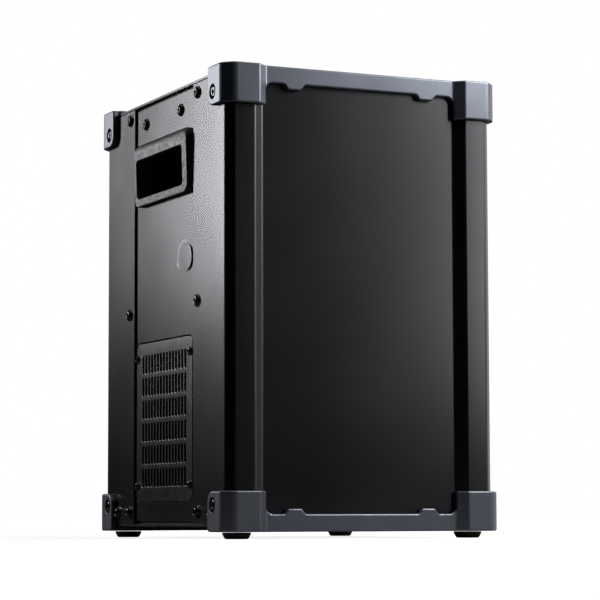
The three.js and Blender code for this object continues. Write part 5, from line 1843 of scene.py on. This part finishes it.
@dataclass
class Studio:
    """A plain pale floor, a white surround and soft lamps, in metres."""

    floor_size: float = 12.0
    floor_colour: float = 0.4
    floor_drift: float = 0.01
    floor_lift: float = 0.84
    lift_reach: Point = (0.3, 1.0)
    surround: float = 0.01
    lamps: tuple[Softbox, ...] = (
        Softbox("rear_left_softbox", 126.0, 1.6, 0.55, (0.25, 0.48), 28.0),
        Softbox("left_softbox", 150.0, 1.5, 0.5, (0.45, 0.5), 0.8),
        Softbox("front_right_softbox", -57.0, 1.27, 0.365, (0.12, 0.44), 8.8),
        Softbox("right_softbox", -34.0, 1.5, 0.66, (0.5, 0.6), 3.6, (0.0, 0.0, 0.2)),
        Softbox("near_front_softbox", -46.5, 0.436, 0.49, (0.2, 0.2), 35.0, (0.08, -0.116, 0.25)),
        Softbox("top_softbox", 0.0, 0.05, 1.7, (1.2, 1.2), 0.15),
    )
    flags: tuple[Flag, ...] = (Flag("rear_left_flag", 80.0, 165.0), Flag("front_flag", 165.0, 318.0))

    def floor(self) -> None:
        """The floor, white to the camera but for the machine's shadow."""
        half = self.floor_size / 2 / MM
        form = Form()
        corners = ((-half, -half, 0), (half, -half, 0), (half, half, 0), (-half, half, 0))
        form.bm.faces.new(form.loop(Vector(corner) for corner in corners))
        floor = form.piece("studio_floor")
        material, tree, shader = new_material("studio_floor")
        cloud = shader_node(tree, "TexNoise", {"Scale": 2.0}).outputs["Fac"]
        shades = (self.floor_colour - self.floor_drift, self.floor_colour + self.floor_drift)
        reach = shader_node(tree, "VectorMath", {0: coordinates(tree)}, operation="LENGTH").outputs["Value"]
        seen = shader_node(tree, "LightPath").outputs["Is Camera Ray"]
        shine = mapped(tree, reach, self.lift_reach, (self.floor_lift, 1.0))
        feed(tree, shader, {
            "Base Color": mapped(tree, cloud, (0.0, 1.0), shades),
            "Roughness": 0.8,
            "Specular IOR Level": 0.1,
            "Emission Color": (1, 1, 1, 1),
            "Emission Strength": maths(tree, "MULTIPLY", seen, shine),
        })
        floor.data.materials.append(material)

    def world(self) -> None:
        """White where the camera, gloss or glass sees it, and a soft grey light otherwise."""
        world = bpy.data.worlds.new("white_surround")
        bpy.context.scene.world = world
        world.use_nodes = True
        tree = world.node_tree
        rays = shader_node(tree, "LightPath").outputs
        seen = maths(tree, "MAXIMUM", rays["Is Camera Ray"], rays["Is Glossy Ray"])
        seen = maths(tree, "MAXIMUM", seen, rays["Is Transmission Ray"])
        strength = mapped(tree, seen, (0.0, 1.0), (self.surround, 1.0))
        feed(tree, tree.nodes["Background"], {"Color": (1, 1, 1, 1), "Strength": strength})

    def build(self) -> None:
        """Sets the whole studio up."""
        self.floor()
        self.world()
        for item in (*self.lamps, *self.flags):
            item.build()
        bpy.context.scene.view_settings.view_transform = "Standard"


@dataclass(frozen=True)
class PhotoCamera:
    """The camera that took the photograph, from a fit to the object's corners."""

    place: tuple[float, float, float] = (-0.6758, -1.4863, 0.0143)
    yaw: float = 24.65
    pitch: float = 5.24
    roll: float = -0.14
    focal_pixels: float = 2360.5
    image_pixels: float = 600.0
    sensor: float = 36.0

    def build(self) -> None:
        """Puts the camera in place and makes it the scene's."""
        data = bpy.data.cameras.new("photo_camera")
        data.sensor_width = self.sensor
        data.sensor_fit = "HORIZONTAL"
        data.lens = self.focal_pixels / self.image_pixels * self.sensor
        data.clip_start = 0.02
        data.clip_end = 60
        camera = linked("photo_camera", data)
        yaw, pitch, roll = (math.radians(turn) for turn in (self.yaw, self.pitch, self.roll))
        ahead = Vector((math.sin(yaw) * math.cos(pitch), math.cos(yaw) * math.cos(pitch), math.sin(pitch)))
        right = Vector((math.cos(yaw), -math.sin(yaw), 0))
        up = right.cross(ahead)
        across = right * math.cos(roll) + up * math.sin(roll)
        over = up * math.cos(roll) - right * math.sin(roll)
        turned = Matrix((across, over, -ahead)).transposed()
        camera.matrix_world = Matrix.Translation(self.place) @ turned.to_4x4()
        bpy.context.scene.camera = camera


def main() -> None:
    """Builds the dressed machine, its studio and its camera."""
    logging.basicConfig(level=logging.INFO, format="%(name)s: %(message)s")
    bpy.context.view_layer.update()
    PhotoCamera().build()
    for kind in (Casing, Bumpers, HandleCups, Grilles, Screws, Feet, Drain, TopPieces, RearPieces, Inside):
        kind().build()
        LOG.info("%s done", kind.__name__)
    Studio().build()
    bpy.context.view_layer.update()


if __name__ == "__main__":
    main()
